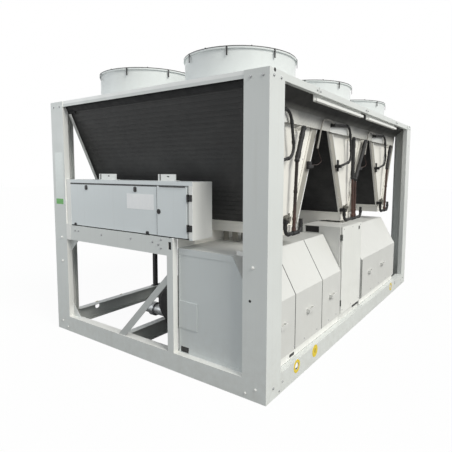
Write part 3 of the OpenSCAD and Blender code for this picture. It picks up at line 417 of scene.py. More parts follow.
def sheet_finish(name):
    """Dull galvanised sheet with a soft spangle, and painted shade that greys it towards the back and darkens
    its shaded top.
    """
    s = Shader(name)
    spangle = s.add("ShaderNodeTexVoronoi")
    spangle.inputs["Scale"].default_value = 60.0
    s.link(s.coords, spangle.inputs["Vector"])
    grain = s.span(spangle.outputs["Distance"], 0.1, 0.7, 0.0, 1.0)
    tone = s.mix(grain, (0.64, 0.635, 0.595), (0.74, 0.735, 0.69))
    # Painted shade: the sheet greys towards the back and goes dark towards its top
    tone = s.mix(s.span(s.along("Y"), -0.85, -0.35, 0.0, 0.2), tone, (0.10, 0.10, 0.094))
    shade = s.span(s.along("Z"), 1.830, 1.935, 0.0, 1.0)
    s.colour(s.mix(shade, tone, (0.022, 0.022, 0.02)))
    s.rough(0.45, 0.62, 12.0)
    s.bump(s.noise(180.0, 3.0), 0.08, 0.0008)
    return s.material


def brushed(name, colour, light):
    """Zinc or steel with short brushed lines and dull patches."""
    s = Shader(name)
    lines = s.noise(1.0, 3.0, 0.6, s.stretched((60, 700, 700)))
    s.colour(s.mix(s.span(lines, 0.3, 0.7, 0.0, 1.0), colour, light))
    s.rough(0.34, 0.55, 30.0)
    s.bump(lines, 0.1, 0.0005)
    s.bsdf.inputs["Metallic"].default_value = 0.85
    return s.material


def plain_label(name, colour, light):
    """Blank plastic plate or sticker with a faint mottle and a soft sheen."""
    s = Shader(name)
    s.colour(s.mix(s.span(s.noise(45.0, 4.0), 0.3, 0.7, 0.0, 1.0), colour, light))
    s.rough(0.28, 0.42, 60.0)
    s.bump(s.noise(900.0, 2.0), 0.05, 0.0004)
    return s.material


MATERIALS = {}


class FinishSettings(bpy.types.PropertyGroup):
    """How the paint looks."""

    streaks: bpy.props.FloatProperty(name="Streaks", description="Strength of the rain streaks", default=0.10,
                                     min=0, max=1, subtype="FACTOR")
    dust: bpy.props.FloatProperty(name="Dust", description="Strength of the dust near the ground",
                                  default=0.28, min=0, max=1, subtype="FACTOR")
    dust_height: bpy.props.FloatProperty(name="Dust height", description="Height at which the dust fades out",
                                         default=0.55, min=0.05, max=2, unit="LENGTH")
    peel: bpy.props.FloatProperty(name="Orange peel", description="Strength of the paint's fine relief",
                                  default=0.06, min=0, max=1, subtype="FACTOR")


class FixingSettings(bpy.types.PropertyGroup):
    """Sizes of bolts and screws."""

    bolt: bpy.props.FloatProperty(name="Bolt", description="Radius of a frame bolt's washer", default=0.011,
                                  min=0.004, max=0.02, unit="LENGTH")
    screw: bpy.props.FloatProperty(name="Screw", description="Radius of a panel screw", default=0.006,
                                   min=0.002, max=0.012, unit="LENGTH")


class StageSettings(bpy.types.PropertyGroup):
    """Camera and light of the studio."""

    place: bpy.props.FloatVectorProperty(name="Camera place", description="Where the camera stands", size=3,
                                         default=(2.344, -3.860, 1.435), subtype="TRANSLATION", unit="LENGTH")
    azimuth: bpy.props.FloatProperty(name="Azimuth", description="Turn of the view about the vertical",
                                     default=math.radians(34.89), subtype="ANGLE")
    pitch: bpy.props.FloatProperty(name="Pitch", description="Downward tilt of the view",
                                   default=math.radians(5.41), subtype="ANGLE")
    roll: bpy.props.FloatProperty(name="Roll", description="Turn of the view about its own axis",
                                  default=math.radians(0.28), subtype="ANGLE")
    lens: bpy.props.FloatProperty(name="Lens", description="Focal length", default=32.257,
                                  subtype="DISTANCE_CAMERA")
    shift: bpy.props.FloatVectorProperty(name="Shift", description="Lens shift across and up", size=2,
                                         default=(-0.02629, -0.03096))
    sun: bpy.props.FloatProperty(name="Key light", description="Strength of the soft key light",
                                 default=2.4, min=0)
    sky: bpy.props.FloatProperty(name="Fill light", description="Strength of the even fill",
                                 default=0.60, min=0)
    fill: bpy.props.FloatProperty(name="Front light", default=32.0, min=0,
                                  description="Power of the soft light before the front end")


def node_box(name):
    """Lowest and highest corner of a CAD node."""
    low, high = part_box(name)
    return Vector(low), Vector(high)


def recolour(name, material, wanted):
    """Gives the faces of a CAD node that a test picks a second material."""
    mesh = frame["nodes"][name].data
    mesh.materials.append(MATERIALS[material])
    index = len(mesh.materials) - 1
    for face in mesh.polygons:
        if wanted(face.center, face.normal):
            face.material_index = index


class CHILLER_OT_finishes(bpy.types.Operator):
    """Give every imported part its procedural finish"""

    bl_idname = "chiller.finishes"
    bl_label = "Finishes"

    def execute(self, context):
        settings = context.scene.chiller_finish
        for name, colour, gloss in PAINTS:
            MATERIALS[name] = paint(name, colour, settings, gloss)
        # The top end rails' paint carries a pale painted highlight along their top edge
        MATERIALS["rail_paint"] = paint("rail_paint", FRAME_COLOUR, settings, COAT_GLOSS, PAINTED_HIGHLIGHT_ABOVE)
        for name, *look in COATS:
            MATERIALS[name] = coated(name, *look)
        for name, colour, light in LABELS:
            MATERIALS[name] = plain_label(name, colour, light)
        MATERIALS["coil_core"] = coil_finish("coil_core")
        MATERIALS["copper_pipe"] = copper_finish("copper_pipe")
        MATERIALS["plenum_sheet"] = sheet_finish("plenum_sheet")
        MATERIALS["water_steel"] = brushed("water_steel", (0.36, 0.37, 0.38), (0.52, 0.53, 0.54))
        for row in frame["record"]["subparts"]:
            node = frame["nodes"][row["node"]]
            node.data.materials.clear()
            node.data.materials.append(MATERIALS[row["material_slot"]])
        for name, other in OTHER_FINISHES:
            frame["nodes"][name].data.materials[0] = MATERIALS[other]
        # Painted shade: the end faces of the coil frames are given the darker bar grey
        for bay in (1, 2, 3):
            recolour(f"coil_frames_{bay}", "bar_grey",
                     lambda centre, normal: abs(normal.x) > FACING and abs(centre.x) > 0.93)
        # Painted shade: the downward faces of the top end rails get the black gasket coat
        recolour("top_end_rails", "gasket", lambda centre, normal: normal.z < -FACING)
        # Painted light: the left posts' inner flanges, the mid posts' right faces and the base end rails'
        # tops get the paler white
        recolour("corner_posts", "gutter_white", lambda centre, normal: normal.x > FACING and centre.x < -0.9)
        recolour("mid_posts", "gutter_white", lambda centre, normal: normal.x > FACING)
        recolour("base_end_rails", "gutter_white", lambda centre, normal: normal.z > FACING)
        recolour("tray_feet", "bar_grey", lambda centre, normal: abs(centre.y) > 1.0)
        recolour("gas_loops", "coil_paint",
                 lambda centre, normal: centre.x < 0.966 and 1.755 < centre.z < 1.797)
        recolour("cabinet_door", "hinge_grey", lambda centre, normal: centre.y < -0.4745)
        recolour("control_door", "hinge_black",
                 lambda centre, normal: centre.x > 0.4745 and abs(centre.z - CONTROL_MIDDLE) > 0.03)
        # Painted shade: the enclosures' faces behind the side panels get the black gasket coat so the seams
        # read dark
        for name in ("front_enclosure", "rear_enclosure"):
            recolour(name, "gasket", lambda centre, normal: normal.x > 0.3 and centre.x > 0.94)
        # Painted light: the control box's right side gets the paler white
        recolour("control_box", "gutter_white", lambda centre, normal: normal.x > FACING and centre.x > 0.4)
        # Painted shade: the box's front face behind the gaps round the cover and door gets the black gasket
        # coat
        recolour("control_box", "gasket",
                 lambda centre, normal: normal.y < -FACING and -1.7785 < centre.y < -1.7)
        for name in ROUNDED:
            mesh = frame["nodes"][name].data
            mesh.polygons.foreach_set("use_smooth", [True] * len(mesh.polygons))
            mesh.set_sharp_from_angle(angle=NODE_EDGE)
        return {"FINISHED"}


class CHILLER_OT_frame_fixings(bpy.types.Operator):
    """Add bolts, painted shade in the openings, blank labels and marker rings to the frame"""

    bl_idname = "chiller.frame_fixings"
    bl_label = "Frame fixings"

    def execute(self, context):
        size = context.scene.chiller_fixings.bolt
        high = node_box("corner_posts")[1]
        wide, long, tall = high.x, high.y, high.z
        side_level, end_level = 2.009, 2.007
        m, pale = Mesher(), Mesher()
        for sx in SIDES:
            for sy in SIDES:
                for z in (0.643, 0.858):
                    if (sx, sy, z) != (1, -1, 0.643):
                        pale.bolt((sx * (wide - 0.105), sy * long, z), BACK * sy, size)
                for x, z in ((0.972, 0.036), (1.049, 0.081)):
                    pale.bolt((sx * x, sy * long, z), BACK * sy, size * 0.75)
                m.bolt((sx * wide, sy * 1.713, 0.075), RIGHT * sx, size * 0.75)
                for y, z in ((1.634, 0.024), (1.590, 0.070)):
                    m.screw((sx * node_box("base_side_rails")[1].x, sy * y, z), RIGHT * sx, size * 0.7)
                if sy > 0:
                    m.screw((sx * wide, long - 0.073, 1.802), RIGHT * sx, size * 0.55)
                for back in (0.050, 0.139):
                    m.bolt((sx * wide, sy * (long - back), side_level), RIGHT * sx, size * 0.8)
                for x in (0.995, 1.083):
                    m.bolt((sx * x, sy * long, end_level), BACK * sy, size * 0.8)
        for sy in SIDES:
            for x, z in ((-0.816, 0.937), (-0.769, 0.937), (-0.455, 0.932), (-0.096, 0.935), (0.144, 0.934),
                         (0.232, 0.959), (0.231, 0.895), (0.205, 0.920)):
                m.screw((x, sy * long, z), BACK * sy, size * 0.8)
        pale.finish("pale_bolts", MATERIALS["gutter_white"], "frame", "water_steel")
        rail = node_box("top_side_rails")[1].x
        for sx in SIDES:
            for y in RAIL_JOINTS:
                for step in (-0.03, 0.03):
                    m.bolt((sx * rail, y + step, tall - 0.024), RIGHT * sx, size * 0.75)
        m.finish("frame_bolts", MATERIALS["water_steel"], "frame", "water_steel")

        # Painted shade: the discs and the plates behind the mid posts' slots are black to stand for the shade
        # inside the openings; the narrow plates mark the rail joints
        m = Mesher()
        for sx in SIDES:
            for y in RAIL_JOINTS:
                m.plate((sx * rail, y, tall - 0.0235), RIGHT * sx, 0.004, 0.046, 0.0006, 0.0002)
            for sy in SIDES:
                m.turned((sx * wide, sy * (long - 0.060), 2.042), RIGHT * sx,
                         [(0.012, 0), (0.012, 0.0004), (0.011, 0.0006)], 20)
        m.turned((1.003, -long, 0.645), FRONT, [(0.009, 0), (0.009, 0.0004), (0.008, 0.0006)], 20)
        post_low, post_high = node_box("mid_posts")
        middle = (post_low.x + post_high.x) / 2
        for sy in SIDES:
            m.plate((middle, sy * (long - 0.0062), 0.92), BACK * sy, 0.036, 0.061, 0.001)
        m.finish("dark_openings", MATERIALS["gasket"], "frame", "black_steel")

        m = Mesher()
        m.plate((-1.030, -long, 1.385), FRONT, 0.118, 0.46, 0.0006, 0.0002, corner=0.006)
        m.finish("post_label", MATERIALS["label_pale"], "frame", "panel_paint")
        m = Mesher()
        m.plate((-1.034, -long - 0.0006, 1.181), FRONT, 0.108, 0.048, 0.0003)
        m.finish("post_label_band", MATERIALS["label_green"], "frame", "panel_paint")

        m = Mesher()
        for sx in SIDES:
            for y, hole in ((-1.382, 0.0262), (1.104, 0.0262), (-1.077, 0.008)):
                m.band((sx * wide, y, LIFT_LEVEL), RIGHT * sx, hole, 0.047, 0.0012, 36, 0.0003)
        m.finish("lift_marks", MATERIALS["marker_yellow"], "frame", "panel_paint")
        return {"FINISHED"}


class CHILLER_OT_panel_details(bpy.types.Operator):
    """Add screws, sills, painted shade in the slots and seams, the vent and the latch to the enclosures"""

    bl_idname = "chiller.panel_details"
    bl_label = "Panel details"

    def execute(self, context):
        size = context.scene.chiller_fixings.screw
        face = node_box("front_panels")[1].x
        m = Mesher()
        for y, z in ((-1.367, 0.225), (-1.207, 0.228), (-0.985, 0.228), (-0.751, 0.230), (-0.582, 0.232),
                     (0.12, 0.228), (0.40, 0.228), (0.68, 0.228), (0.96, 0.228), (1.25, 0.228)):
            m.screw((face, y, z), RIGHT, size)
        m.finish("panel_screws", MATERIALS["water_steel"], "frame", "water_steel")

        rim = node_box("front_end_panel")[0].y + 0.003
        back = node_box("front_enclosure")[1].x
        m = Mesher()
        for start, end in ((-1.612, -0.497), (0.066, 1.309)):
            m.plate((back, (start + end) / 2, 0.1675), RIGHT, end - start, 0.061, 0.001, 0.0003)
        hook_x, hook = 0.878, (0.062, 0.030, 0.003, 0.0006)
        m.plate((hook_x, -1.706, 0.9035), UP, *hook, BACK)
        m.plate((hook_x, -1.721, 0.9185), FRONT, *hook)
        m.finish("sill_strips", MATERIALS["gutter_white"], "frame", "panel_paint")

        cab_low, cab_high = node_box("cabinet")
        # Painted shade: the black plate behind the vent's slats and the black plates in the drain and slots
        # stand for the shade inside them
        m = Mesher()
        vent_x, vent_z = cab_low.x + 0.092, 0.939
        slat = 0.011
        m.plate((vent_x, cab_low.y + 0.0115, vent_z), FRONT, 0.134, 0.056, 0.002, 0.0005)
        for i in range(5):
            level = vent_z - 2 * slat + slat * i
            m.plate((vent_x, cab_low.y + 0.0095, level), Vector((0, -1, -0.5)), 0.128, slat, 0.0015, 0.0004)
        m.plate((0.410, rim + 0.0048, 0.160), FRONT, 0.0755, 0.0415, 0.001, 0.0003)
        m.plate((back + 0.001, -1.375, 0.160), RIGHT, 0.070, 0.022, 0.0008, 0.0003)
        m.plate((cab_high.x, -0.045, 0.172), RIGHT, 0.170, 0.022, 0.0008, 0.0003)
        for y in (-1.077, 1.30):
            m.plate((node_box("corner_posts")[1].x, y, 0.094), RIGHT, 0.008, 0.034, 0.0014, 0.0003)
        m.finish("dark_inserts", MATERIALS["black_steel"], "frame", "black_steel")

        m = Mesher()
        tilt = Vector((0.306, 0, 0.172))
        for y in (-1.359, -0.891):
            m.plate((face, y, 0.3985), RIGHT, 0.008, 0.397, 0.0006, 0.0002)
            m.plate((face - 0.086, y, 0.750), tilt, 0.008, 0.349, 0.0006, 0.0002)
        m.plate((0.3535, rim, 0.52), FRONT, 0.006, 0.75, STRIP, STRIP_EDGE)
        m.finish("seam_shade", MATERIALS["gasket"], "frame", "black_steel")
        m = Mesher()
        m.plate((face, 0.083, 0.398), RIGHT, 0.026, 0.385, STRIP, STRIP_EDGE)
        m.finish("rear_jamb", MATERIALS["hinge_grey"], "frame", "hinge_black")
        m = Mesher()
        m.plate((0.350, -1.6635, 0.9365), RIGHT, 0.181, 0.065, 0.002, 0.0004)
        m.finish("wall_end", MATERIALS["coil_paint"], "frame", "coil_paint")

        door_low, door_high = node_box("cabinet_door")
        door_face = door_high.x - 0.007
        latch_y, latch_z, latch_thick = -0.045, 0.93, 0.004
        m = Mesher()
        m.plate((door_face, latch_y, latch_z), RIGHT, 0.022, 0.034, latch_thick, 0.001, corner=0.006)
        m.turned((door_face + latch_thick, latch_y, latch_z), RIGHT,
                 [(0.007, 0), (0.007, 0.002), (0.005, 0.003)], 16)
        m.finish("cabinet_latch", MATERIALS["hinge_black"], "cabinet_door", "hinge_black")
        m = Mesher()
        for y in (-0.44, -0.22, 0.0):
            m.screw((door_face, y, door_high.z - 0.02), RIGHT, size)
            m.screw((door_face, y, door_low.z + 0.03), RIGHT, size)
        m.finish("cabinet_screws", MATERIALS["water_steel"], "cabinet_door", "water_steel")
        return {"FINISHED"}


class CHILLER_OT_control_details(bpy.types.Operator):
    """Add latches, the lock, hinge leaves, painted shade along the seams and the blank plate to the control
    box
    """

    bl_idname = "chiller.control_details"
    bl_label = "Control box details"

    def execute(self, context):
        cover_low, cover_high = node_box("control_cover")
        face = cover_low.y
        latch_thick = 0.006
        m = Mesher()
        for x, z, tall in ((-0.658, 1.313, 0.040), (-0.049, 1.313, 0.040),
                           (-0.824, 0.990, 0.026), (0.080, 0.992, 0.026)):
            m.plate((x, face, z), FRONT, 0.030, tall, latch_thick, 0.0015, corner=0.007)
            m.turned((x, face - latch_thick, z), FRONT, [(0.008, 0), (0.008, 0.002), (0.006, 0.003)], 16)
        m.finish("cover_latches", MATERIALS["hinge_black"], "frame", "hinge_black")
        m = Mesher()
        m.plate((0.0025, face, 1.2225), FRONT, 0.295, 0.115, STRIP, STRIP_EDGE)
        m.finish("blank_plate", MATERIALS["blank_white"], "frame", "panel_paint")
        door_low, door_high = node_box("control_door")
        lock_x, lock_y, lock_z, lock_thick = 0.206, -1.795, 1.160, 0.005
        seam = 0.008
        m = Mesher()
        m.turned((lock_x, lock_y, lock_z), FRONT, [(0.018, 0), (0.018, 0.0035), (0.016, lock_thick)], 24)
        m.plate((lock_x, lock_y - lock_thick, lock_z), FRONT, 0.005, 0.022, 0.0015, 0.0004)
        # Painted shade: a black strip along the door's top edge
        m.plate((0.342, door_low.y, door_high.z - seam / 2), FRONT, 0.250, seam, STRIP, STRIP_EDGE)
        m.finish("door_lock", MATERIALS["hinge_black"], "control_door", "hinge_black")
        leaf_y, leaf_wide = -1.790, 0.030
        m = Mesher()
        for level in CONTROL_HINGES:
            m.plate((0.507, leaf_y, level), FRONT, leaf_wide, 0.046, 0.0035, 0.0008, corner=0.003)
        middle, cover = (cover_low + cover_high) / 2, cover_high - cover_low
        # Painted shade: black strips along the cover's top and right edges, and in the slots of the top
        # brackets
        m.plate((middle.x, face, cover_high.z - seam / 2), FRONT, cover.x, seam, STRIP, STRIP_EDGE)
        m.plate((cover_high.x - 0.0015, face, middle.z), FRONT, 0.003, cover.z, STRIP, STRIP_EDGE)
        for x in (-0.6365, 0.0845):
            m.plate((x, -1.658, 1.404), FRONT, 0.013, 0.044, STRIP, STRIP_EDGE)
        m.finish("hinge_wings", MATERIALS["hinge_black"], "frame", "hinge_black")
        strip_tall = 0.362
        m = Mesher()
        m.plate((0.509, leaf_y, CONTROL_MIDDLE), FRONT, leaf_wide, strip_tall, STRIP, STRIP_EDGE)
        # Painted light: a pale plate at the floor of the gap by the door's hinge edge hides the gap's shade
        m.plate((0.475, -1.778, CONTROL_MIDDLE), FRONT, 0.028, strip_tall, STRIP, STRIP_EDGE)
        left_x, left_wide, beam_tall = -0.915, 0.063, 0.14
        beam_middle = node_box("mid_beams")[0].z + beam_tall / 2
        m.plate((left_x, face, 1.1765), FRONT, left_wide, 0.403, 0.0012, 0.0003)
        m.plate((left_x, -1.802, beam_middle), FRONT, left_wide, beam_tall, 0.0012, 0.0003)
        m.finish("hinge_strip", MATERIALS["gutter_white"], "frame", "panel_paint")
        return {"FINISHED"}


class CHILLER_OT_coil_details(bpy.types.Operator):
    """Add screws and edge strips to the coils, and clamps, valves and thin lines to the pipes"""

    bl_idname = "chiller.coil_details"
    bl_label = "Coil and pipe details"

    def execute(self, context):
        size = context.scene.chiller_fixings.screw
        reach = node_box("coil_frames_2")[1].x
        slope = (V_HIGH - V_LOW) / (COIL_HIGH - COIL_LOW)

        def edge(bay, lean, z, inset):
            """Place of a V's edge along the machine, drawn in by an inset."""
            return bay + lean * (V_LOW + slope * (z - COIL_LOW) - inset)

        m = Mesher()
        for bay in BAYS:
            for lean in SIDES:
                for i in range(9):
                    z = COIL_LOW + 0.06 + 0.10 * i
                    y = edge(bay, lean, z, 0.018)
                    m.screw((reach, y, z), RIGHT, size)
                    m.screw((-reach, y, z), LEFT, size)
            for z in (1.25, 1.55, 1.85):
                for lean in SIDES:
                    y = edge(bay, lean, z, 0.110)
                    m.screw((reach - 0.020, y, z), RIGHT, size)
                    m.screw((-reach + 0.020, y, z), LEFT, size)
        m.finish("coil_screws", MATERIALS["water_steel"], "frame", "water_steel")

        m = Mesher()
        low, high = 1.062, 1.795
        for bay in BAYS:
            for lean, inset in ((-1, 0.088), (1, 0.006)):
                rim = [(0, -0.006, 0), (0.002, -0.006, 0), (0.002, 0.006, 0), (0, 0.006, 0)]
                m.extrude(rim, (reach, edge(bay, lean, low, inset), low),
                          (reach, edge(bay, lean, high, inset), high))
        neck, neck_x = 1.798, 0.9602
        for bay in BAYS:
            left, right = bay - 0.484, bay - 0.078
            outline = [(0, left, neck), (0, right, neck), (0, right, neck + 0.070), (0, left, neck + 0.038)]
            m.extrude(outline, RIGHT * neck_x, RIGHT * (neck_x + 0.001))
        shade = Mesher()
        for bay in BAYS:
            for lean in SIDES:
                out = Vector((0, lean, -slope)).normalized()
                z = (COIL_LOW + COIL_HIGH) / 2 - 0.009
                m.plate((-reach + 0.019, edge(bay, lean, z, 0), z), out, 0.036, 0.98, 0.0012, 0.0003)
                for x, z, width, height in ((-0.006, 1.984, 2 * reach - 0.012, 0.042),
                                            (-reach + 0.05, 1.960, 0.10, 0.03)):
                    shade.plate((x, edge(bay, lean, z, 0), z), out, width, height, 0.0018, 0.0003)
        shade.finish("coil_top_shade", MATERIALS["gasket"], "frame", "black_steel")
        m.finish("coil_edges", MATERIALS["gutter_white"], "frame", "coil_paint")

        pipe_x = reach + 0.042
        collar, bore = (0.0178, 0.0205, 0.045, 24, 0.002), 0.0124
        collars, clamps = Mesher(), Mesher()
        for bay, head, knee, foot in RISERS:
            top, low, end = (Vector((pipe_x, bay + y, z)) for y, z in (head, knee, (foot, RISER_FOOT)))
            along = (top - low).normalized()
            collars.band(low + along * 0.02, along, *collar)
            collars.band(top - along * 0.085, along, *collar)
            down = (low - end).normalized()
            for share in (0.18, 0.55):
                clamps.band(end + (low - end) * share, down, bore, 0.0152, 0.022, 24, 0.001)
            clamps.band(end + down * 0.017, down, bore, 0.0165, 0.026, 24, 0.002)
        route = ((0.441, 1.76), (0.429, 1.698), (0.488, 1.613), (0.546, 1.552),
                 (0.520, 1.527), (0.470, 1.513), (0.326, 1.503))
        for bay in BAYS[:2]:
            clamps.hose([(0.957, bay + y, z) for y, z in route], 0.0035)
            collars.plate((reach, bay + 0.312, 1.505), RIGHT, 0.050, 0.060, 0.028, 0.006)
            collars.plate((reach + 0.028, bay + 0.300, 1.492), RIGHT, 0.085, 0.022, 0.012, 0.004)
        for bay in BAYS:
            collars.plate((reach, bay - 0.262, 1.512), RIGHT, 0.020, 0.105, 0.016, 0.004)
        collars.finish("pipe_collars", MATERIALS["pipe_insulation"], "frame", "pipe_insulation", True)
        clamps.finish("pipe_clamps", MATERIALS["copper_pipe"], "frame", "copper_pipe", True)
        cap = [(0.016, 0), (0.016, 0.014), (0.022, 0.016), (0.022, 0.032), (0.012, 0.034), (0.012, 0.05)]
        stem = [(0.012, 0), (0.012, 0.02), (0.017, 0.022), (0.017, 0.05), (0.009, 0.052), (0.009, 0.075)]
        m = Mesher()
        for left in (-1.3245, -0.1545, 1.0395):
            m.turned((pipe_x - 0.012, left + 0.002, 1.126), RIGHT, cap, 6)
            m.turned((pipe_x, left + 0.052, 1.078), UP, stem, 12)
        m.finish("valve_bodies", MATERIALS["valve_brass"], "frame", "water_steel", True)
        route = ((0.400, 1.64), (0.432, 1.72), (0.462, 1.80), (0.500, 1.862),
                 (0.560, 1.885), (0.660, 1.888), (0.735, 1.868))
        m = Mesher()
        for bay in BAYS[:2]:
            m.hose([(pipe_x, bay + y, z) for y, z in route], 0.0075)
        m.finish("gas_lines", MATERIALS["line_grey"], "frame", "water_steel", True)
        return {"FINISHED"}


class CHILLER_OT_roof_details(bpy.types.Operator):
    """Add screws to the roof panels and round the fan stacks"""

    bl_idname = "chiller.roof_details"
    bl_label = "Roof details"

    def execute(self, context):
        size = context.scene.chiller_fixings.screw
        roof = node_box("fan_decks")[1].z
        flange, count, deck_edge = 0.006, 12, 0.57
        m = Mesher()
        for bay in BAYS:
            for side in SIDES:
                for i in range(count):
                    a = math.tau * (i + 0.5) / count
                    x, y = side * FAN_X + STACK_RING * math.cos(a), bay + STACK_RING * math.sin(a)
                    m.screw((x, y, roof + flange), UP, size)
            for x in (-1.04, -0.7, -0.35, 0.0, 0.35, 0.7, 1.04):
                for side in SIDES:
                    m.screw((x, bay + side * deck_edge, roof), UP, size)
        m.finish("roof_screws", MATERIALS["water_steel"], "frame", "water_steel")
        return {"FINISHED"}


class CHILLER_OT_vessel_details(bpy.types.Operator):
    """Add flange bolts and straps to the evaporator"""

    bl_idname = "chiller.vessel_details"
    bl_label = "Evaporator details"

    def execute(self, context):
        size = context.scene.chiller_fixings.bolt
        ring, count = 0.2025, 16
        m = Mesher()
        for y, out in ((-1.377, FRONT), (1.323, BACK)):
            for i in range(count):
                a = math.tau * i / count
                m.bolt((VESSEL_X + ring * math.cos(a), y, VESSEL_Z + ring * math.sin(a)), out, size)
        m.finish("flange_bolts", MATERIALS["water_steel"], "frame", "water_steel")
        shell, strap = 0.1895, 0.002
        m = Mesher()
        for y in (-1.1, -0.45, 0.3, 1.05):
            m.band((VESSEL_X, y, VESSEL_Z), BACK, shell, shell + strap, 0.03, 48, 0.0004)
        m.finish("vessel_straps", MATERIALS["water_steel"], "frame", "water_steel", True)
        return {"FINISHED"}


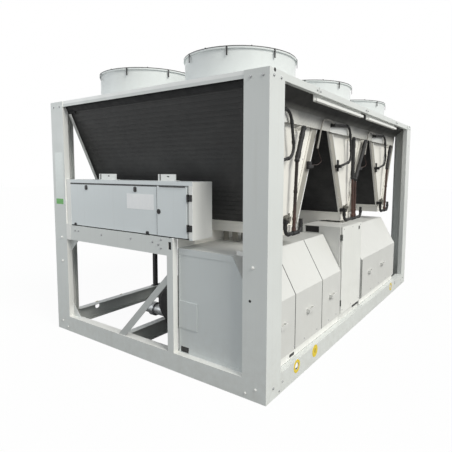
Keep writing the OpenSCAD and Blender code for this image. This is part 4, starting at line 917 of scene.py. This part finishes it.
class CHILLER_OT_stage(bpy.types.Operator):
    """Set the camera, the soft lights, the white background and the floor"""

    bl_idname = "chiller.stage"
    bl_label = "Stage"

    def execute(self, context):
        scene = context.scene
        settings = scene.chiller_stage
        scene.view_settings.view_transform = "Standard"
        self.camera(scene, settings)
        self.lights(scene, settings)
        self.world(scene, settings)
        self.floor(scene)
        return {"FINISHED"}

    def camera(self, scene, settings):
        data = bpy.data.cameras.new("photo_camera")
        data.sensor_width = 36.0
        data.lens = settings.lens
        data.shift_x, data.shift_y = settings.shift
        data.clip_start, data.clip_end = 0.05, 200.0
        a, p, r = settings.azimuth, settings.pitch, settings.roll
        ahead = Vector((-math.sin(a) * math.cos(p), math.cos(a) * math.cos(p), -math.sin(p)))
        across = Vector((math.cos(a), math.sin(a), 0))
        above = across.cross(ahead)
        x_axis = across * math.cos(r) + above * math.sin(r)
        y_axis = above * math.cos(r) - across * math.sin(r)
        place = Matrix((x_axis, y_axis, -ahead)).transposed().to_4x4()
        place.translation = Vector(settings.place)
        camera = bpy.data.objects.new("photo_camera", data)
        camera.matrix_world = place
        scene.collection.objects.link(camera)
        scene.camera = camera

    def lights(self, scene, settings):
        data = bpy.data.lights.new("key_sun", "SUN")
        data.energy = settings.sun
        data.angle = math.radians(28)
        data.color = (1.0, 0.98, 0.915)
        key = bpy.data.objects.new("key_sun", data)
        sunward = Vector((0.75, -0.12, 0.65))
        key.rotation_mode = "QUATERNION"
        key.rotation_quaternion = (-sunward).to_track_quat("-Z", "Y")
        scene.collection.objects.link(key)
        data = bpy.data.lights.new("front_fill", "AREA")
        data.energy = settings.fill
        data.size = 2.0
        data.color = (0.94, 0.985, 1.0)
        fill = bpy.data.objects.new("front_fill", data)
        fill.location = (-3.6, -4.3, 2.3)
        front_end = Vector((0.0, -1.8, 1.2))
        fill.rotation_mode = "QUATERNION"
        fill.rotation_quaternion = (front_end - fill.location).to_track_quat("-Z", "Y")
        scene.collection.objects.link(fill)

    def world(self, scene, settings):
        world = bpy.data.worlds.new("studio")
        scene.world = world
        world.use_nodes = True
        tree = world.node_tree
        tree.nodes.clear()
        output = tree.nodes.new("ShaderNodeOutputWorld")
        fill = tree.nodes.new("ShaderNodeBackground")
        fill.inputs["Color"].default_value = (0.94, 0.97, 1.0, 1.0)
        fill.inputs["Strength"].default_value = settings.sky
        white = tree.nodes.new("ShaderNodeBackground")
        white.inputs["Color"].default_value = (1, 1, 1, 1)
        white.inputs["Strength"].default_value = 1.0
        path = tree.nodes.new("ShaderNodeLightPath")
        seen = path.outputs["Is Camera Ray"]
        for name in ("Is Glossy Ray", "Is Transmission Ray"):
            either = tree.nodes.new("ShaderNodeMath")
            either.operation = "MAXIMUM"
            tree.links.new(seen, either.inputs[0])
            tree.links.new(path.outputs[name], either.inputs[1])
            seen = either.outputs["Value"]
        mix = tree.nodes.new("ShaderNodeMixShader")
        tree.links.new(seen, mix.inputs["Fac"])
        tree.links.new(fill.outputs["Background"], mix.inputs[1])
        tree.links.new(white.outputs["Background"], mix.inputs[2])
        tree.links.new(mix.outputs["Shader"], output.inputs["Surface"])

    def floor(self, scene):
        mesh = bpy.data.meshes.new("studio_floor")
        half = 40.0
        corners = [(-half, -half, 0), (half, -half, 0), (half, half, 0), (-half, half, 0)]
        mesh.from_pydata(corners, [], [(0, 1, 2, 3)])
        floor = bpy.data.objects.new("studio_floor", mesh)
        floor.location.z = -0.002
        scene.collection.objects.link(floor)
        material = bpy.data.materials.new("studio_floor")
        material.use_nodes = True
        tree = material.node_tree
        tree.nodes.clear()
        output = tree.nodes.new("ShaderNodeOutputMaterial")
        matte = tree.nodes.new("ShaderNodeBsdfDiffuse")
        matte.inputs["Color"].default_value = (0.25, 0.25, 0.25, 1)
        glow = tree.nodes.new("ShaderNodeEmission")
        glow.inputs["Color"].default_value = (1, 1, 1, 1)
        glow.inputs["Strength"].default_value = 1.13
        path = tree.nodes.new("ShaderNodeLightPath")
        share = tree.nodes.new("ShaderNodeMath")
        share.operation = "MULTIPLY"
        share.inputs[1].default_value = 0.84
        tree.links.new(path.outputs["Is Camera Ray"], share.inputs[0])
        mix = tree.nodes.new("ShaderNodeMixShader")
        tree.links.new(share.outputs["Value"], mix.inputs["Fac"])
        tree.links.new(matte.outputs["BSDF"], mix.inputs[1])
        tree.links.new(glow.outputs["Emission"], mix.inputs[2])
        tree.links.new(mix.outputs["Shader"], output.inputs["Surface"])
        mesh.materials.append(material)


class CHILLER_PT_panel(bpy.types.Panel):
    """Sidebar panel with the steps and their settings"""

    bl_idname = "CHILLER_PT_panel"
    bl_label = "Chiller"
    bl_space_type = "VIEW_3D"
    bl_region_type = "UI"
    bl_category = "Chiller"

    def draw(self, context):
        layout = self.layout
        scene = context.scene
        for group in (scene.chiller_finish, scene.chiller_fixings, scene.chiller_stage):
            box = layout.box()
            for name in group.__annotations__:
                box.prop(group, name)
        for step in STEPS:
            layout.operator(step.bl_idname)


STEPS = (CHILLER_OT_finishes, CHILLER_OT_frame_fixings, CHILLER_OT_panel_details, CHILLER_OT_control_details,
         CHILLER_OT_coil_details, CHILLER_OT_roof_details, CHILLER_OT_vessel_details, CHILLER_OT_stage)
GROUPS = (("chiller_finish", FinishSettings), ("chiller_fixings", FixingSettings),
          ("chiller_stage", StageSettings))


def register():
    for name, group in GROUPS:
        bpy.utils.register_class(group)
        setattr(bpy.types.Scene, name, bpy.props.PointerProperty(type=group))
    for step in (*STEPS, CHILLER_PT_panel):
        bpy.utils.register_class(step)


def unregister():
    for step in reversed((*STEPS, CHILLER_PT_panel)):
        bpy.utils.unregister_class(step)
    for name, group in reversed(GROUPS):
        delattr(bpy.types.Scene, name)
        bpy.utils.unregister_class(group)


def main():
    register()
    bpy.ops.chiller.finishes()
    bpy.ops.chiller.frame_fixings()
    bpy.ops.chiller.panel_details()
    bpy.ops.chiller.control_details()
    bpy.ops.chiller.coil_details()
    bpy.ops.chiller.roof_details()
    bpy.ops.chiller.vessel_details()
    bpy.ops.chiller.stage()


if __name__ == "__main__":
    main()
